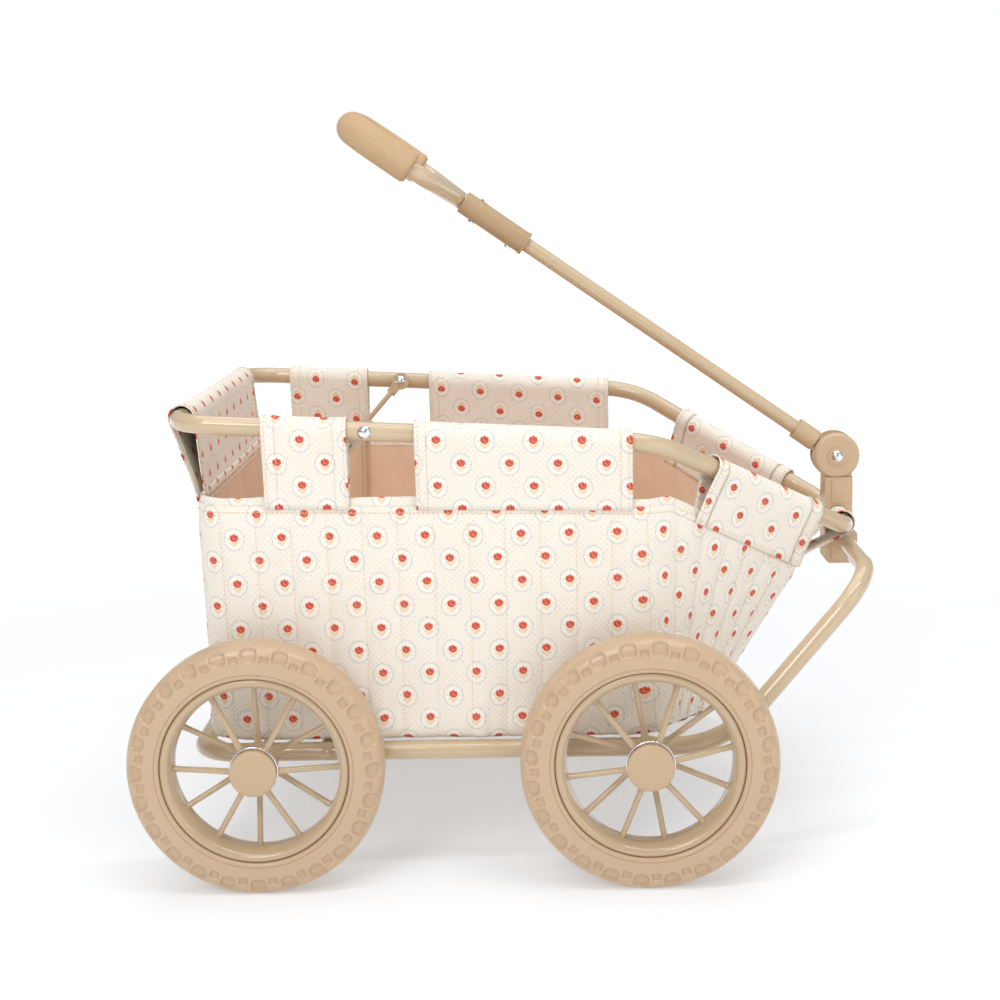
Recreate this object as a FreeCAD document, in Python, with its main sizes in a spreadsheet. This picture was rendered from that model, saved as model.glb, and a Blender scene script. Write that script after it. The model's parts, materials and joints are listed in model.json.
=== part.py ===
import FreeCAD, Part
import math
import os
import Sketcher
from FreeCAD import Placement, Rotation, Vector

# Four-wheeled fabric wagon with a folding pull handle.
# Frame: +X towards the handle, +Y to the left, +Z up; the floor is Z = 0 and X = 0 is half the length.

doc = FreeCAD.newDocument("wagon")
sheet = doc.addObject("Spreadsheet::Sheet", "sizes")

SIZES = [
    ("tube_r", 7.5), ("tube_bore_r", 6.3),
    ("rail_half", 185.0), ("rail_rear_x", -259.0), ("rail_rear_z", 364.5), ("rail_fall", 0.0592),
    ("rail_knee_x", 114.0), ("rail_nose_x", 281.0), ("rail_nose_y", 61.5), ("rail_nose_z", 250.5),
    ("base_rear_x", -252.0), ("base_z", 99.6), ("base_knee_x", 166.0),
    ("base_nose_x", 286.0), ("base_nose_y", 155.0), ("base_nose_z", 229.4),
    ("corner_r", 30.0), ("rail_knee_r", 74.0), ("base_knee_r", 88.0), ("base_nose_r", 45.0),
    ("axle_x_rear", -200.0), ("axle_x_front", 105.0), ("axle_z", 100.0), ("axle_r", 4.0),
    ("axle_fit", 0.06), ("axle_half", 235.5), ("track_half", 222.0),
    ("tyre_r", 100.0), ("tyre_seat_r", 73.6), ("tyre_half", 17.0), ("tyre_round", 10.0),
    ("rim_r", 73.5), ("rim_half", 15.2), ("rim_lip_r", 69.8), ("rim_waist_r", 64.0),
    ("hub_r", 11.0), ("hub_inner", 26.0), ("hub_outer", 18.0), ("hub_pocket_r", 7.6),
    ("flange_r", 15.5), ("spoke_r", 2.4), ("cap_r", 18.0), ("cap_edge", 3.2), ("cap_dome", 5.4),
    ("washer_r", 9.0), ("washer_len", 2.9), ("clip_r", 7.0), ("clip_len", 1.4),
    ("ring_r", 11.85), ("ring_wire_r", 0.8),
    ("brace_x", -110.0), ("brace_foot_x", -148.0), ("brace_y", 175.98), ("rod_y", 173.8), ("brace_r", 2.5),
    ("rivet_r", 2.5), ("dome_r", 6.5), ("dome_sink", 3.9),
    ("block_rear_x", 270.0), ("block_front_x", 293.5), ("block_half", 15.0),
    ("block_low_z", 209.5), ("block_top_z", 285.0), ("block_split_x", 283.5), ("block_bore_r", 7.55),
    ("swivel_x", 280.0), ("swivel_r", 4.0), ("swivel_fit", 0.06), ("swivel_flange_r", 7.0),
    ("pivot_z", 303.0), ("pivot_r", 3.0), ("pivot_fit", 0.05), ("knuckle_r", 20.0), ("knuckle_half", 14.0),
    ("slot_half", 6.2), ("tongue_half", 6.0), ("tongue_r", 12.8),
    ("handle_rise", 35.2), ("socket_r", 9.2), ("socket_start", 21.2), ("socket_end", 41.5),
    ("inner_tube_r", 6.2), ("inner_bore_r", 5.0), ("inner_start", 25.5), ("inner_end", 366.0),
    ("collar_r", 9.8), ("collar_start", 324.0), ("collar_end", 388.6), ("stem_start", 331.5),
    ("collar_lip_r", 10.3), ("collar_lip_len", 3.0), ("collar_rivet_at", 373.6), ("button_at", 336.6),
    ("loop_apex", 393.0), ("loop_shoulder", 424.0), ("loop_far", 498.0), ("loop_half", 60.0),
    ("grip_r", 13.5), ("grip_start", 437.0),
    ("wall_t", 3.2), ("lining_t", 1.2), ("seam_z", 299.0), ("floor_z", 107.6),
]
for row, (alias, value) in enumerate(SIZES, start=1):
    sheet.set("A%d" % row, alias)
    sheet.set("B%d" % row, str(value))
    sheet.setAlias("B%d" % row, alias)
doc.recompute()
S = {alias: value for alias, value in SIZES}

Y_AXIS = Vector(0, 1, 0)
Z_AXIS = Vector(0, 0, 1)
OUT = []


def bind(obj, **expressions):
    """Tie properties of an object to cells of the sheet."""
    for prop, expression in expressions.items():
        obj.setExpression(prop.replace("__", "."), expression)
    return obj


def cell(text):
    """Turn bare cell names into full sheet references."""
    words = []
    for word in text.split(" "):
        words.append("sizes." + word if word in S else word)
    return " ".join(words)


def cylinder(name, radius, height, base, axis=Z_AXIS):
    """A cylinder with its radius and height taken from the sheet, or a height worked out in place."""
    obj = doc.addObject("Part::Cylinder", name)
    bind(obj, Radius=cell(radius))
    if isinstance(height, str):
        bind(obj, Height=cell(height))
    else:
        obj.Height = height
    obj.Placement = Placement(base, Rotation(Z_AXIS, axis))
    return obj


def box(name, low, high):
    """An upright box between two corners."""
    obj = doc.addObject("Part::Box", name)
    obj.Length = high[0] - low[0]
    obj.Width = high[1] - low[1]
    obj.Height = high[2] - low[2]
    obj.Placement = Placement(Vector(*low), Rotation())
    return obj


def dome(name, seat, out):
    """The domed head of a rivet or bolt, standing on its seat and bulging outwards."""
    ball = doc.addObject("Part::Sphere", name)
    bind(ball, Radius="sizes.dome_r")
    ball.Angle1 = math.degrees(math.asin(S["dome_sink"] / S["dome_r"]))
    ball.Angle2 = 90.0
    ball.Placement = Placement(seat - out * S["dome_sink"], Rotation(Z_AXIS, out))
    return ball


def fuse(name, parts):
    """One solid out of several."""
    obj = doc.addObject("Part::MultiFuse", name)
    obj.Shapes = parts
    obj.Refine = True
    return obj


def cut(name, base, tools):
    """A base with one or more tools taken away."""
    tool = tools[0] if len(tools) == 1 else fuse(name + "_tools", tools)
    obj = doc.addObject("Part::Cut", name)
    obj.Base = base
    obj.Tool = tool
    obj.Refine = True
    return obj


def group(name, parts):
    """Separate like pieces kept in one node."""
    obj = doc.addObject("Part::Compound", name)
    obj.Links = parts
    return obj


def shape(name, value, placement=None):
    """A piece whose shape is worked out from the sheet values."""
    obj = doc.addObject("Part::Feature", name)
    obj.Shape = value
    if placement is not None:
        obj.Placement = placement
    return obj


def node(obj, label):
    """Mark an object as a finished piece."""
    obj.Label = label
    OUT.append(obj)
    return obj


def turned(name, profile):
    """A body turned about Z from a closed profile of (radius, height) sheet expressions."""
    body = doc.addObject("PartDesign::Body", name)
    sketch = body.newObject("Sketcher::SketchObject", name + "_profile")
    plane = [f for f in body.Origin.OriginFeatures if f.Role == "XZ_Plane"][0]
    sketch.AttachmentSupport = [(plane, "")]
    sketch.MapMode = "FlatFace"
    points = []
    for radius, height in profile:
        values = [sum_of(radius), sum_of(height)]
        points.append(Vector(values[0], values[1], 0))
    count = len(points)
    for i in range(count):
        sketch.addGeometry(Part.LineSegment(points[i], points[(i + 1) % count]), False)
    for i in range(count):
        sketch.addConstraint(Sketcher.Constraint("Coincident", i, 2, (i + 1) % count, 1))
    for i, (radius, height) in enumerate(profile):
        for kind, text, axis_id, size in (("DistanceX", radius, -2, points[i].x),
                                          ("DistanceY", height, -1, points[i].y)):
            if abs(size) < 1e-9:
                sketch.addConstraint(Sketcher.Constraint("PointOnObject", i, 1, axis_id))
            else:
                index = sketch.addConstraint(Sketcher.Constraint(kind, -1, 1, i, 1, size))
                sketch.setExpression("Constraints[%d]" % index, cell(text))
    turn = body.newObject("PartDesign::Revolution", name + "_turn")
    turn.Profile = sketch
    turn.ReferenceAxis = (sketch, ["V_Axis"])
    turn.Angle = 360.0
    sketch.Visibility = False
    return body


def sum_of(text):
    """Value of a plain sum of cell names and numbers."""
    total = 0.0
    sign = 1.0
    for word in text.split(" "):
        if word in ("+", "-"):
            sign = 1.0 if word == "+" else -1.0
        else:
            total += sign * (S[word] if word in S else float(word))
    return total


def rounded_path(points, radii, closed):
    """A wire through the points with an arc of the given radius at each corner."""
    count = len(points)
    starts = []
    arcs = []
    for i, point in enumerate(points):
        if not closed and i in (0, count - 1):
            starts.append((point, point))
            arcs.append(None)
            continue
        back = (points[i - 1] - point).normalize()
        ahead = (points[(i + 1) % count] - point).normalize()
        half = back.getAngle(ahead) / 2.0
        reach = radii[i] / math.tan(half)
        middle = (back + ahead).normalize()
        crown = point + middle * (radii[i] / math.sin(half) - radii[i])
        first = point + back * reach
        last = point + ahead * reach
        starts.append((first, last))
        arcs.append(Part.Arc(first, crown, last).toShape())
    edges = []
    for i in range(count):
        if arcs[i] is not None:
            edges.append(arcs[i])
        if i < count - 1 or closed:
            edges.append(Part.LineSegment(starts[i][1], starts[(i + 1) % count][0]).toShape())
    return Part.Wire(Part.__sortEdges__(edges))


def swept(name, wire, radius):
    """A round bar of a sheet radius along a path, through its sweep feature."""
    path = shape(name + "_path", wire)
    edge = wire.OrderedEdges[0]
    section = doc.addObject("Part::Circle", name + "_section")
    bind(section, Radius=cell(radius))
    start = edge.valueAt(edge.FirstParameter)
    heading = edge.tangentAt(edge.FirstParameter)
    section.Placement = Placement(start, Rotation(Z_AXIS, heading))
    sweep = doc.addObject("Part::Sweep", name)
    sweep.Sections = [section]
    sweep.Spine = (path, [])
    sweep.Solid = True
    sweep.Frenet = False
    return sweep


def mirror_y(point):
    """The same point on the other side of the wagon."""
    return Vector(point.x, -point.y, point.z)


# --- rails and base ---------------------------------------------------------------------------------

def rail_height(x):
    """Height of the side rail's centre line behind its knee."""
    return S["rail_rear_z"] - S["rail_fall"] * (x - S["rail_rear_x"])


rail_side = [
    Vector(S["rail_rear_x"], S["rail_half"], S["rail_rear_z"]),
    Vector(S["rail_knee_x"], S["rail_half"], rail_height(S["rail_knee_x"])),
    Vector(S["rail_nose_x"], S["rail_nose_y"], S["rail_nose_z"]),
]
base_side = [
    Vector(S["base_rear_x"], S["rail_half"], S["base_z"]),
    Vector(S["base_knee_x"], S["rail_half"], S["base_z"]),
    Vector(S["base_nose_x"], S["base_nose_y"], S["base_nose_z"]),
]


def loop_of(side, radii):
    """The closed path of a loop: up one side, across the nose, and back."""
    far = [mirror_y(point) for point in reversed(side)]
    return rounded_path(side + far, radii + list(reversed(radii)), True)


rail_wire = loop_of(rail_side, [S["corner_r"], S["rail_knee_r"], S["corner_r"]])
base_wire = loop_of(base_side, [S["corner_r"], S["base_knee_r"], S["base_nose_r"]])

rivet_span = S["rail_half"] + 60.0
rail_rivet_z = rail_height(S["brace_x"])
rail_holes = []
foot_holes = []
for side in (1, -1):
    across = Vector(0, side, 0)
    start = side * (S["rail_half"] - 20.0)
    rail_holes.append(cylinder("rail_hole_%d" % len(rail_holes), "rivet_r", "40",
                               Vector(S["brace_x"], start, rail_rivet_z), across))
    foot_holes.append(cylinder("foot_hole_%d" % len(foot_holes), "rivet_r", "40",
                               Vector(S["brace_foot_x"], start, S["base_z"]), across))
for x in (S["axle_x_rear"], S["axle_x_front"]):
    foot_holes.append(cylinder("axle_hole_%d" % len(foot_holes), "axle_r + 0.02", "2 * rail_half + 60",
                               Vector(x, -S["rail_half"] - 30.0, S["axle_z"]), Y_AXIS))
rail_bar = swept("rail_bar", rail_wire, "tube_r")
rail_core = swept("rail_core", rail_wire, "tube_bore_r")
base_bar = swept("base_bar", base_wire, "tube_r")
base_core = swept("base_core", base_wire, "tube_bore_r")
rail_tube = cut("rail_tube", rail_bar, [rail_core])
base_tube = cut("base_tube", base_bar, [base_core])
node(cut("top_rail_solid", rail_tube, rail_holes), "top_rail")
node(cut("base_loop_solid", base_tube, foot_holes), "base_loop")

# --- axles -------------------------------------------------------------------------------------------

washers = []
clips = []
for tag, x in (("rear", S["axle_x_rear"]), ("front", S["axle_x_front"])):
    rod_end = Vector(x, -S["axle_half"], S["axle_z"])
    node(cylinder(tag + "_axle_rod", "axle_r", "2 * axle_half", rod_end, Y_AXIS), tag + "_axle")
    for side in (1, -1):
        across = Vector(0, side, 0)
        inner = Vector(x, side * (S["rail_half"] + S["tube_r"] + 0.2), S["axle_z"])
        disc = cylinder("washer_disc_%d" % len(washers), "washer_r", "washer_len", inner, across)
        hole = cylinder("washer_hole_%d" % len(washers), "axle_r + 0.01", "washer_len", inner, across)
        washers.append(cut("washer_%d" % len(washers), disc, [hole]))
        outer = Vector(x, side * (S["track_half"] + 10.7), S["axle_z"])
        disc = cylinder("clip_disc_%d" % len(clips), "clip_r", "clip_len", outer, across)
        hole = cylinder("clip_hole_%d" % len(clips), "axle_r - 0.01", "clip_len", outer, across)
        clips.append(cut("clip_%d" % len(clips), disc, [hole]))
node(group("washer_set", washers), "axle_washers")
node(group("clip_set", clips), "axle_clips")

# --- one wheel, turned about Z with the outer face up -------------------------------------------------

tyre = turned("tyre_body", [
    ("tyre_seat_r", "0 - tyre_half + 1.6"), ("tyre_seat_r + 2", "0 - tyre_half"),
    ("tyre_r", "0 - tyre_half"),
    ("tyre_r", "tyre_half"), ("tyre_seat_r + 2", "tyre_half"), ("tyre_seat_r", "tyre_half - 1.6")])
doc.recompute()
tyre_turn = tyre.Tip
shoulders = []
for index, edge in enumerate(tyre.Shape.Edges, start=1):
    if isinstance(edge.Curve, Part.Circle) and abs(edge.Curve.Radius - S["tyre_r"]) < 1e-6:
        shoulders.append("Edge%d" % index)
rounding = tyre.newObject("PartDesign::Fillet", "tyre_rounding")
rounding.Base = (tyre_turn, shoulders)
rounding.setExpression("Radius", "sizes.tyre_round")
tyre.Tip = rounding

ring = turned("rim_ring", [
    ("rim_r", "0 - rim_half"), ("rim_r", "rim_half"),
    ("rim_lip_r", "rim_half"), ("rim_waist_r + 1.2", "rim_half - 6"),
    ("rim_waist_r", "0"), ("rim_waist_r + 1.2", "6 - rim_half"), ("rim_lip_r", "0 - rim_half")])
hub = cylinder("hub_barrel", "hub_r", "hub_inner + hub_outer", Vector(0, 0, -S["hub_inner"]))
flange_out = cylinder("hub_flange_out", "flange_r", "5", Vector(0, 0, 11.5))
flange_in = cylinder("hub_flange_in", "flange_r", "5", Vector(0, 0, -14.5))
bore = cylinder("hub_bore", "axle_r + axle_fit", "60", Vector(0, 0, -30))
pocket = cylinder("hub_pocket", "hub_pocket_r", "20", Vector(0, 0, 10))
spokes = []
for index in range(12):
    angle = math.radians(30 * index)
    height = 14.0 if index % 2 == 0 else -12.0
    rise = 3.0 if index % 2 == 0 else -1.0
    direction = Vector(math.cos(angle), math.sin(angle), 0)
    foot = direction * 12.5 + Vector(0, 0, height)
    head = direction * (S["rim_waist_r"] + 2.6) + Vector(0, 0, rise)
    spokes.append(cylinder("spoke_%d" % index, "spoke_r", (head - foot).Length, foot, head - foot))
rim = cut("rim_solid", fuse("rim_blank", [ring, hub, flange_out, flange_in] + spokes), [bore, pocket])
cap = turned("cap_body", [
    ("0", "hub_outer + 0.1"), ("hub_pocket_r - 1.3", "hub_outer + 0.1"),
    ("hub_pocket_r - 1.3", "hub_outer - 3"),
    ("hub_pocket_r - 0.02", "hub_outer - 3"), ("hub_pocket_r - 0.02", "hub_outer + 0.1"),
    ("cap_r - 1.2", "hub_outer + 0.1"), ("cap_r", "hub_outer + 1.4"), ("cap_r", "hub_outer + cap_edge"),
    ("cap_r - 3", "hub_outer + cap_dome - 0.9"), ("cap_r - 9", "hub_outer + cap_dome - 0.2"),
    ("0", "hub_outer + cap_dome")])
wire_ring = doc.addObject("Part::Torus", "wire_ring")
bind(wire_ring, Radius1="sizes.ring_r", Radius2="sizes.ring_wire_r")
wire_ring.Placement = Placement(Vector(0, 0, 9.2), Rotation())
doc.recompute()

WHEELS = [
    ("rear_right", "axle_x_rear", -1, 0.0), ("front_right", "axle_x_front", -1, 10.0),
    ("rear_left", "axle_x_rear", 1, 0.0), ("front_left", "axle_x_front", 1, 10.0),
]
for name, axle, side, roll in WHEELS:
    stand = Placement(Vector(S[axle], side * S["track_half"], S["axle_z"]), Rotation(Y_AXIS, roll))
    stand = stand.multiply(Placement(Vector(), Rotation(Z_AXIS, Vector(0, side, 0))))
    for part, label in ((tyre, "tyre_"), (rim, "rim_"), (cap, "hub_cap_"), (wire_ring, "hub_ring_")):
        solid = part.Shape.copy()
        local = Placement(solid.Placement)
        solid.Placement = Placement()
        node(shape(label + name + "_solid", solid, stand.multiply(local)), label + name)

# --- braces ------------------------------------------------------------------------------------------

rail_rivets = []
foot_rivets = []
eye_half = 1.5
for tag, side in (("left", 1), ("right", -1)):
    y = side * S["brace_y"]
    across = Vector(0, side, 0)
    top = Vector(S["brace_x"], y, rail_rivet_z)
    foot = Vector(S["brace_foot_x"], y, S["base_z"])
    bend = Vector(S["brace_foot_x"], y, rail_rivet_z - 43.0)
    slope = (bend - top).normalize()
    inward = across * (S["rod_y"] - S["brace_y"])
    rod_points = [top + slope * 12.0 + inward, bend + inward, foot + Vector(0, 0, 9) + inward]
    wire = rounded_path(rod_points, [0, 14.0, 0], False)
    rod = swept("brace_rod_" + tag, wire, "brace_r")
    pieces = [rod]
    for where, at, way in (("top", top, slope), ("foot", foot, Z_AXIS)):
        base = at - across * eye_half
        pieces.append(cylinder("brace_eye_%s_%s" % (where, tag), "8.2", "3", base, across))
        blade = doc.addObject("Part::Box", "brace_blade_%s_%s" % (where, tag))
        blade.Length = 15.5
        blade.Width = 9.0
        blade.Height = 3.0
        turn = Rotation(way, way.cross(across) * -1, across, "XYZ")
        blade.Placement = Placement(base + way.cross(across) * 4.5, turn)
        pieces.append(blade)
    holes = [cylinder("brace_hole_%d_%s" % (i, tag), "rivet_r + 0.02", "12", at - across * 6, across)
             for i, at in enumerate((top, foot))]
    node(cut("brace_%s_solid" % tag, fuse("brace_blank_" + tag, pieces), holes), "brace_" + tag)
    for kind, at, store in (("rail", top, rail_rivets), ("foot", foot, foot_rivets)):
        low = S["brace_y"] - eye_half
        high = S["rail_half"] + S["tube_r"]
        start = Vector(at.x, side * (low - 0.5), at.z)
        heads = [cylinder("%s_pin_%s" % (kind, tag), "rivet_r - 0.02", high - low + 1.0, start, across)]
        for end, way in ((low, -1), (high, 1)):
            seat = Vector(at.x, side * end, at.z)
            heads.append(dome("%s_head_%s_%d" % (kind, tag, way), seat, across * way))
        store.append(fuse("%s_rivet_%s" % (kind, tag), heads))
node(group("rail_rivet_set", rail_rivets), "rail_rivets")
node(group("foot_rivet_set", foot_rivets), "foot_rivets")

# --- bracket clamped round the two noses -------------------------------------------------------------

X0 = S["block_rear_x"]
X1 = S["block_front_x"]
YB = S["block_half"]
Z0 = S["block_low_z"]
Z1 = S["block_top_z"]
outline = [
    Vector(X0 + 3.5, -YB, Z0), Vector(X1, -YB, Z0), Vector(X1 + 4.5, -YB, Z0 + 16.0),
    Vector(X1 + 4.5, -YB, Z0 + 26.0), Vector(X1, -YB, Z0 + 31.0), Vector(X1, -YB, Z1),
    Vector(X0, -YB, Z1), Vector(X0, -YB, Z0 + 3.5)]
block_face = Part.Face(Part.makePolygon(outline + [outline[0]]))
block_blank = shape("block_blank", block_face.extrude(Vector(0, 2 * YB, 0)))
drills = []
noses = [("rail", S["rail_nose_x"], S["rail_nose_z"]), ("base", S["base_nose_x"], S["base_nose_z"])]
for tag, x, z in noses:
    drills.append(cylinder(tag + "_clamp", "block_bore_r", "80", Vector(x, -40, z), Y_AXIS))
for side in (1, -1):
    start = Vector(S["rail_nose_x"], side * (YB - 2.5), S["rail_nose_z"])
    drills.append(cylinder("rail_relief_%d" % side, "10", "6", start, Vector(0, side, 0)))
pin_low = 266.0
drills.append(cylinder("pin_bore", "swivel_r + swivel_fit", "40", Vector(S["swivel_x"], 0, pin_low)))
pin_seat = Vector(S["swivel_x"], 0, pin_low - 0.2)
drills.append(cylinder("pin_room", "swivel_flange_r + 0.08", "4.4", pin_seat))
screw_seats = [(y, z) for z in (276.5, 214.6) for y in (-10.6, 10.6)]
screws = []
for index, (y, z) in enumerate(screw_seats):
    drills.append(cylinder("screw_bore_%d" % index, "1.53", "19", Vector(X1 - 18.5, y, z), Vector(1, 0, 0)))
    drills.append(cylinder("screw_room_%d" % index, "3.1", "4", Vector(X1 - 2.6, y, z), Vector(1, 0, 0)))
    shank = cylinder("screw_shank_%d" % index, "1.5", "15.6", Vector(X1 - 18.2, y, z), Vector(1, 0, 0))
    crown = cylinder("screw_crown_%d" % index, "3", "2.2", Vector(X1 - 2.6, y, z), Vector(1, 0, 0))
    screws.append(fuse("screw_%d" % index, [shank, crown]))
block = cut("block", block_blank, drills)
far = 60.0
rear_side = box("rear_side", (X0 - far, -far, Z0 - far), (S["block_split_x"], far, Z1 + far))
front_side = box("front_side", (S["block_split_x"] + 0.05, -far, Z0 - far), (X1 + far, far, Z1 + far))
for tag, side_box in (("rear", rear_side), ("front", front_side)):
    half = doc.addObject("Part::Common", "bracket_half_" + tag)
    half.Base = block
    half.Tool = side_box
    node(half, "bracket_" + tag)
node(group("screw_set", screws), "bracket_screws")

# --- swivel head and its pin ---------------------------------------------------------------------------

PX = S["swivel_x"]
PZ = S["pivot_z"]
KH = S["knuckle_half"]
pin_parts = [
    cylinder("pin_shank", "swivel_r", Z1 + 2.8 - pin_low, Vector(PX, 0, pin_low)),
    cylinder("pin_flange", "swivel_flange_r", "4", Vector(PX, 0, pin_low))]
node(fuse("swivel_pin_solid", pin_parts), "swivel_pin")
knuckle = cylinder("knuckle", "knuckle_r", "2 * knuckle_half", Vector(PX, -KH, PZ), Y_AXIS)
neck = box("knuckle_neck", (X0 + 0.3, 1.5 - KH, Z1 + 0.3), (X1 - 0.3, KH - 1.5, PZ))
bosses = []
for side in (1, -1):
    bosses.append(cylinder("boss_%d" % side, "7.6", "1", Vector(PX, side * KH, PZ), Vector(0, side, 0)))
doc.recompute()
rims = []
for index, edge in enumerate(knuckle.Shape.Edges, start=1):
    if isinstance(edge.Curve, Part.Circle):
        rims.append((index, 3.5, 3.5))
round_off = doc.addObject("Part::Fillet", "knuckle_rounded")
round_off.Base = knuckle
round_off.Edges = rims
head_blank = fuse("head_blank", [round_off, neck] + bosses)
slot = box("tongue_slot", (PX - 40, -S["slot_half"], 289.6), (PX + 40, S["slot_half"], PZ + 40))
pivot_bore = cylinder("pivot_bore", "pivot_r + 0.02", "60", Vector(PX, -30, PZ), Y_AXIS)
pin_seat = cylinder("pin_seat", "swivel_r + 0.02", "2.6", Vector(PX, 0, Z1 + 0.3))
under_head = box("under_head", (PX - 40, -40, Z1 - 20), (PX + 40, 40, Z1 + 0.3))
node(cut("head_solid", head_blank, [slot, pivot_bore, pin_seat, under_head]), "swivel_head")
bolt_parts = [cylinder("bolt_shank", "pivot_r", "2 * knuckle_half + 3", Vector(PX, -KH - 1.5, PZ), Y_AXIS)]
for side in (1, -1):
    seat = Vector(PX, side * (KH + 1), PZ)
    bolt_parts.append(dome("bolt_dome_%d" % side, seat, Vector(0, side, 0)))
node(fuse("bolt_solid", bolt_parts), "pivot_bolt")

# --- handle, along its own axis from the pivot -----------------------------------------------------------

rise = math.radians(S["handle_rise"])
ALONG = Vector(-math.cos(rise), 0, math.sin(rise))
UNDER = Vector(-math.sin(rise), 0, -math.cos(rise))
PIVOT = Vector(PX, 0, PZ)


def on_handle(distance, y=0.0, under=0.0):
    """A point at a distance from the pivot along the handle."""
    return PIVOT + ALONG * distance + Vector(0, y, 0) + UNDER * under


def sleeve(name, radius, start, end):
    """A round bar on the handle's axis between two distances."""
    return cylinder(name, radius, "%s - %s" % (end, start), on_handle(sum_of(start)), ALONG)


eye = cylinder("tongue_eye", "tongue_r", "2 * tongue_half", Vector(PX, -S["tongue_half"], PZ), Y_AXIS)
bar = doc.addObject("Part::Box", "tongue_bar")
bar.Length = 22.5
bar.Width = 16.0
bind(bar, Height="2 * sizes.tongue_half")
bar.Placement = Placement(on_handle(0, S["tongue_half"], -8.0), Rotation(ALONG, UNDER, Y_AXIS * -1, "XYZ"))
barrel = sleeve("socket_barrel", "socket_r", "socket_start", "socket_end")
socket_room = sleeve("socket_room", "inner_tube_r + 0.02", "inner_start", "socket_end + 1")
eye_bore = cylinder("eye_bore", "pivot_r + pivot_fit", "60", Vector(PX, -30, PZ), Y_AXIS)
socket_pin_at = on_handle(34.0, -12.0)
pin_hole = cylinder("socket_pin_hole", "1.52", "24", socket_pin_at, Y_AXIS)
socket_blank = fuse("socket_blank", [eye, bar, barrel])
node(cut("socket_solid", socket_blank, [socket_room, eye_bore, pin_hole]), "handle_socket")

under_start = on_handle(S["button_at"], 0.0, 2.0)
inner_bar = sleeve("inner_bar", "inner_tube_r", "inner_start", "inner_end")
inner_core = sleeve("inner_core", "inner_bore_r", "inner_start", "inner_end")
tube_pin = cylinder("tube_pin_hole", "1.52", "24", socket_pin_at, Y_AXIS)
tube_button = cylinder("tube_button_hole", "2.56", "12", under_start, UNDER)
node(cut("inner_solid", inner_bar, [inner_core, tube_pin, tube_button]), "lower_tube")
rivet_len = 2 * (S["socket_r"] - 0.4)
rivet_base = on_handle(34.0, -rivet_len / 2)
node(cylinder("socket_rivet_solid", "1.5", rivet_len, rivet_base, Y_AXIS), "socket_rivet")

shoulder = S["loop_shoulder"]
loop_points = [on_handle(S["loop_apex"])]
loop_points += [on_handle(shoulder, -S["loop_half"]), on_handle(S["loop_far"], -S["loop_half"])]
loop_points += [on_handle(S["loop_far"], S["loop_half"]), on_handle(shoulder, S["loop_half"])]
loop_wire = rounded_path(loop_points, [9.0, 20.0, 34.0, 34.0, 20.0], True)
loop_bar = swept("loop_bar", loop_wire, "tube_r")
loop_core = swept("loop_core", loop_wire, "tube_bore_r")
stem_bar = sleeve("stem_bar", "tube_r", "stem_start", "loop_apex + 3")
stem_core = sleeve("stem_core", "tube_bore_r", "stem_start", "loop_apex - 2")
cross_start = on_handle(S["collar_rivet_at"], 0, -15)
collar_rivet_hole = cylinder("stem_rivet_hole", "1.52", "30", cross_start, UNDER)
stem_button = cylinder("stem_button_hole", "2.56", "12", under_start, UNDER)
loop_blank = fuse("loop_blank", [loop_bar, stem_bar])
node(cut("loop_solid", loop_blank, [loop_core, stem_core, collar_rivet_hole, stem_button]), "handle_loop")

grip_points = [on_handle(S["grip_start"], -S["loop_half"]), on_handle(S["loop_far"], -S["loop_half"])]
grip_points += [on_handle(S["loop_far"], S["loop_half"]), on_handle(S["grip_start"], S["loop_half"])]
grip_wire = rounded_path(grip_points, [0, 34.0, 34.0, 0], False)
grip_bar = swept("grip_bar", grip_wire, "grip_r")
grip_room = swept("grip_room", grip_wire, "tube_r + 0.02")
node(cut("grip_solid", grip_bar, [grip_room]), "foam_grip")

collar_bar = sleeve("collar_bar", "collar_r", "collar_start", "collar_end")
collar_lip = cylinder("collar_lip", "collar_lip_r", "collar_lip_len", on_handle(S["collar_start"]), ALONG)
collar_room = sleeve("collar_room", "tube_r + 0.02", "stem_start", "collar_end + 1")
collar_throat = sleeve("collar_throat", "inner_tube_r + 0.05", "collar_start", "stem_start + 1")
collar_rivet_way = cylinder("collar_rivet_way", "1.52", "30", cross_start, UNDER)
collar_button = cylinder("collar_button_hole", "2.56", "12", under_start, UNDER)
collar_blank = fuse("collar_blank", [collar_bar, collar_lip])
collar_tools = [collar_room, collar_throat, collar_rivet_way, collar_button]
node(cut("collar_solid", collar_blank, collar_tools), "collar")
cross_base = on_handle(S["collar_rivet_at"], 0, -S["collar_r"])
cross = [cylinder("collar_rivet_shank", "1.5", "2 * collar_r", cross_base, UNDER)]
for side in (1, -1):
    head_at = on_handle(S["collar_rivet_at"], 0, side * S["collar_r"])
    cross.append(cylinder("collar_rivet_head_%d" % side, "3.2", "1.5", head_at, UNDER * side))
node(fuse("collar_rivet_solid", cross), "collar_rivet")

button_shank = cylinder("button_shank", "2.5", "9.2", on_handle(S["button_at"], 0, 2.6), UNDER)
button_foot = cylinder("button_foot", "3.4", "0.9", on_handle(S["button_at"], 0, 2.2), UNDER)
node(fuse("button_solid", [button_shank, button_foot]), "snap_button")
leaf_points = [(-3.2, 2.15), (-3.2, 1.65), (3.0, 1.65), (15.0, -2.4), (15.3, -1.95), (3.3, 2.15)]
leaf_poly = [on_handle(S["button_at"] + along, -1.5, under) for along, under in leaf_points]
leaf_face = Part.Face(Part.makePolygon(leaf_poly + [leaf_poly[0]]))
node(shape("leaf_solid", leaf_face.extrude(Vector(0, 3.0, 0))), "button_spring")

# --- basket ------------------------------------------------------------------------------------------


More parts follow.
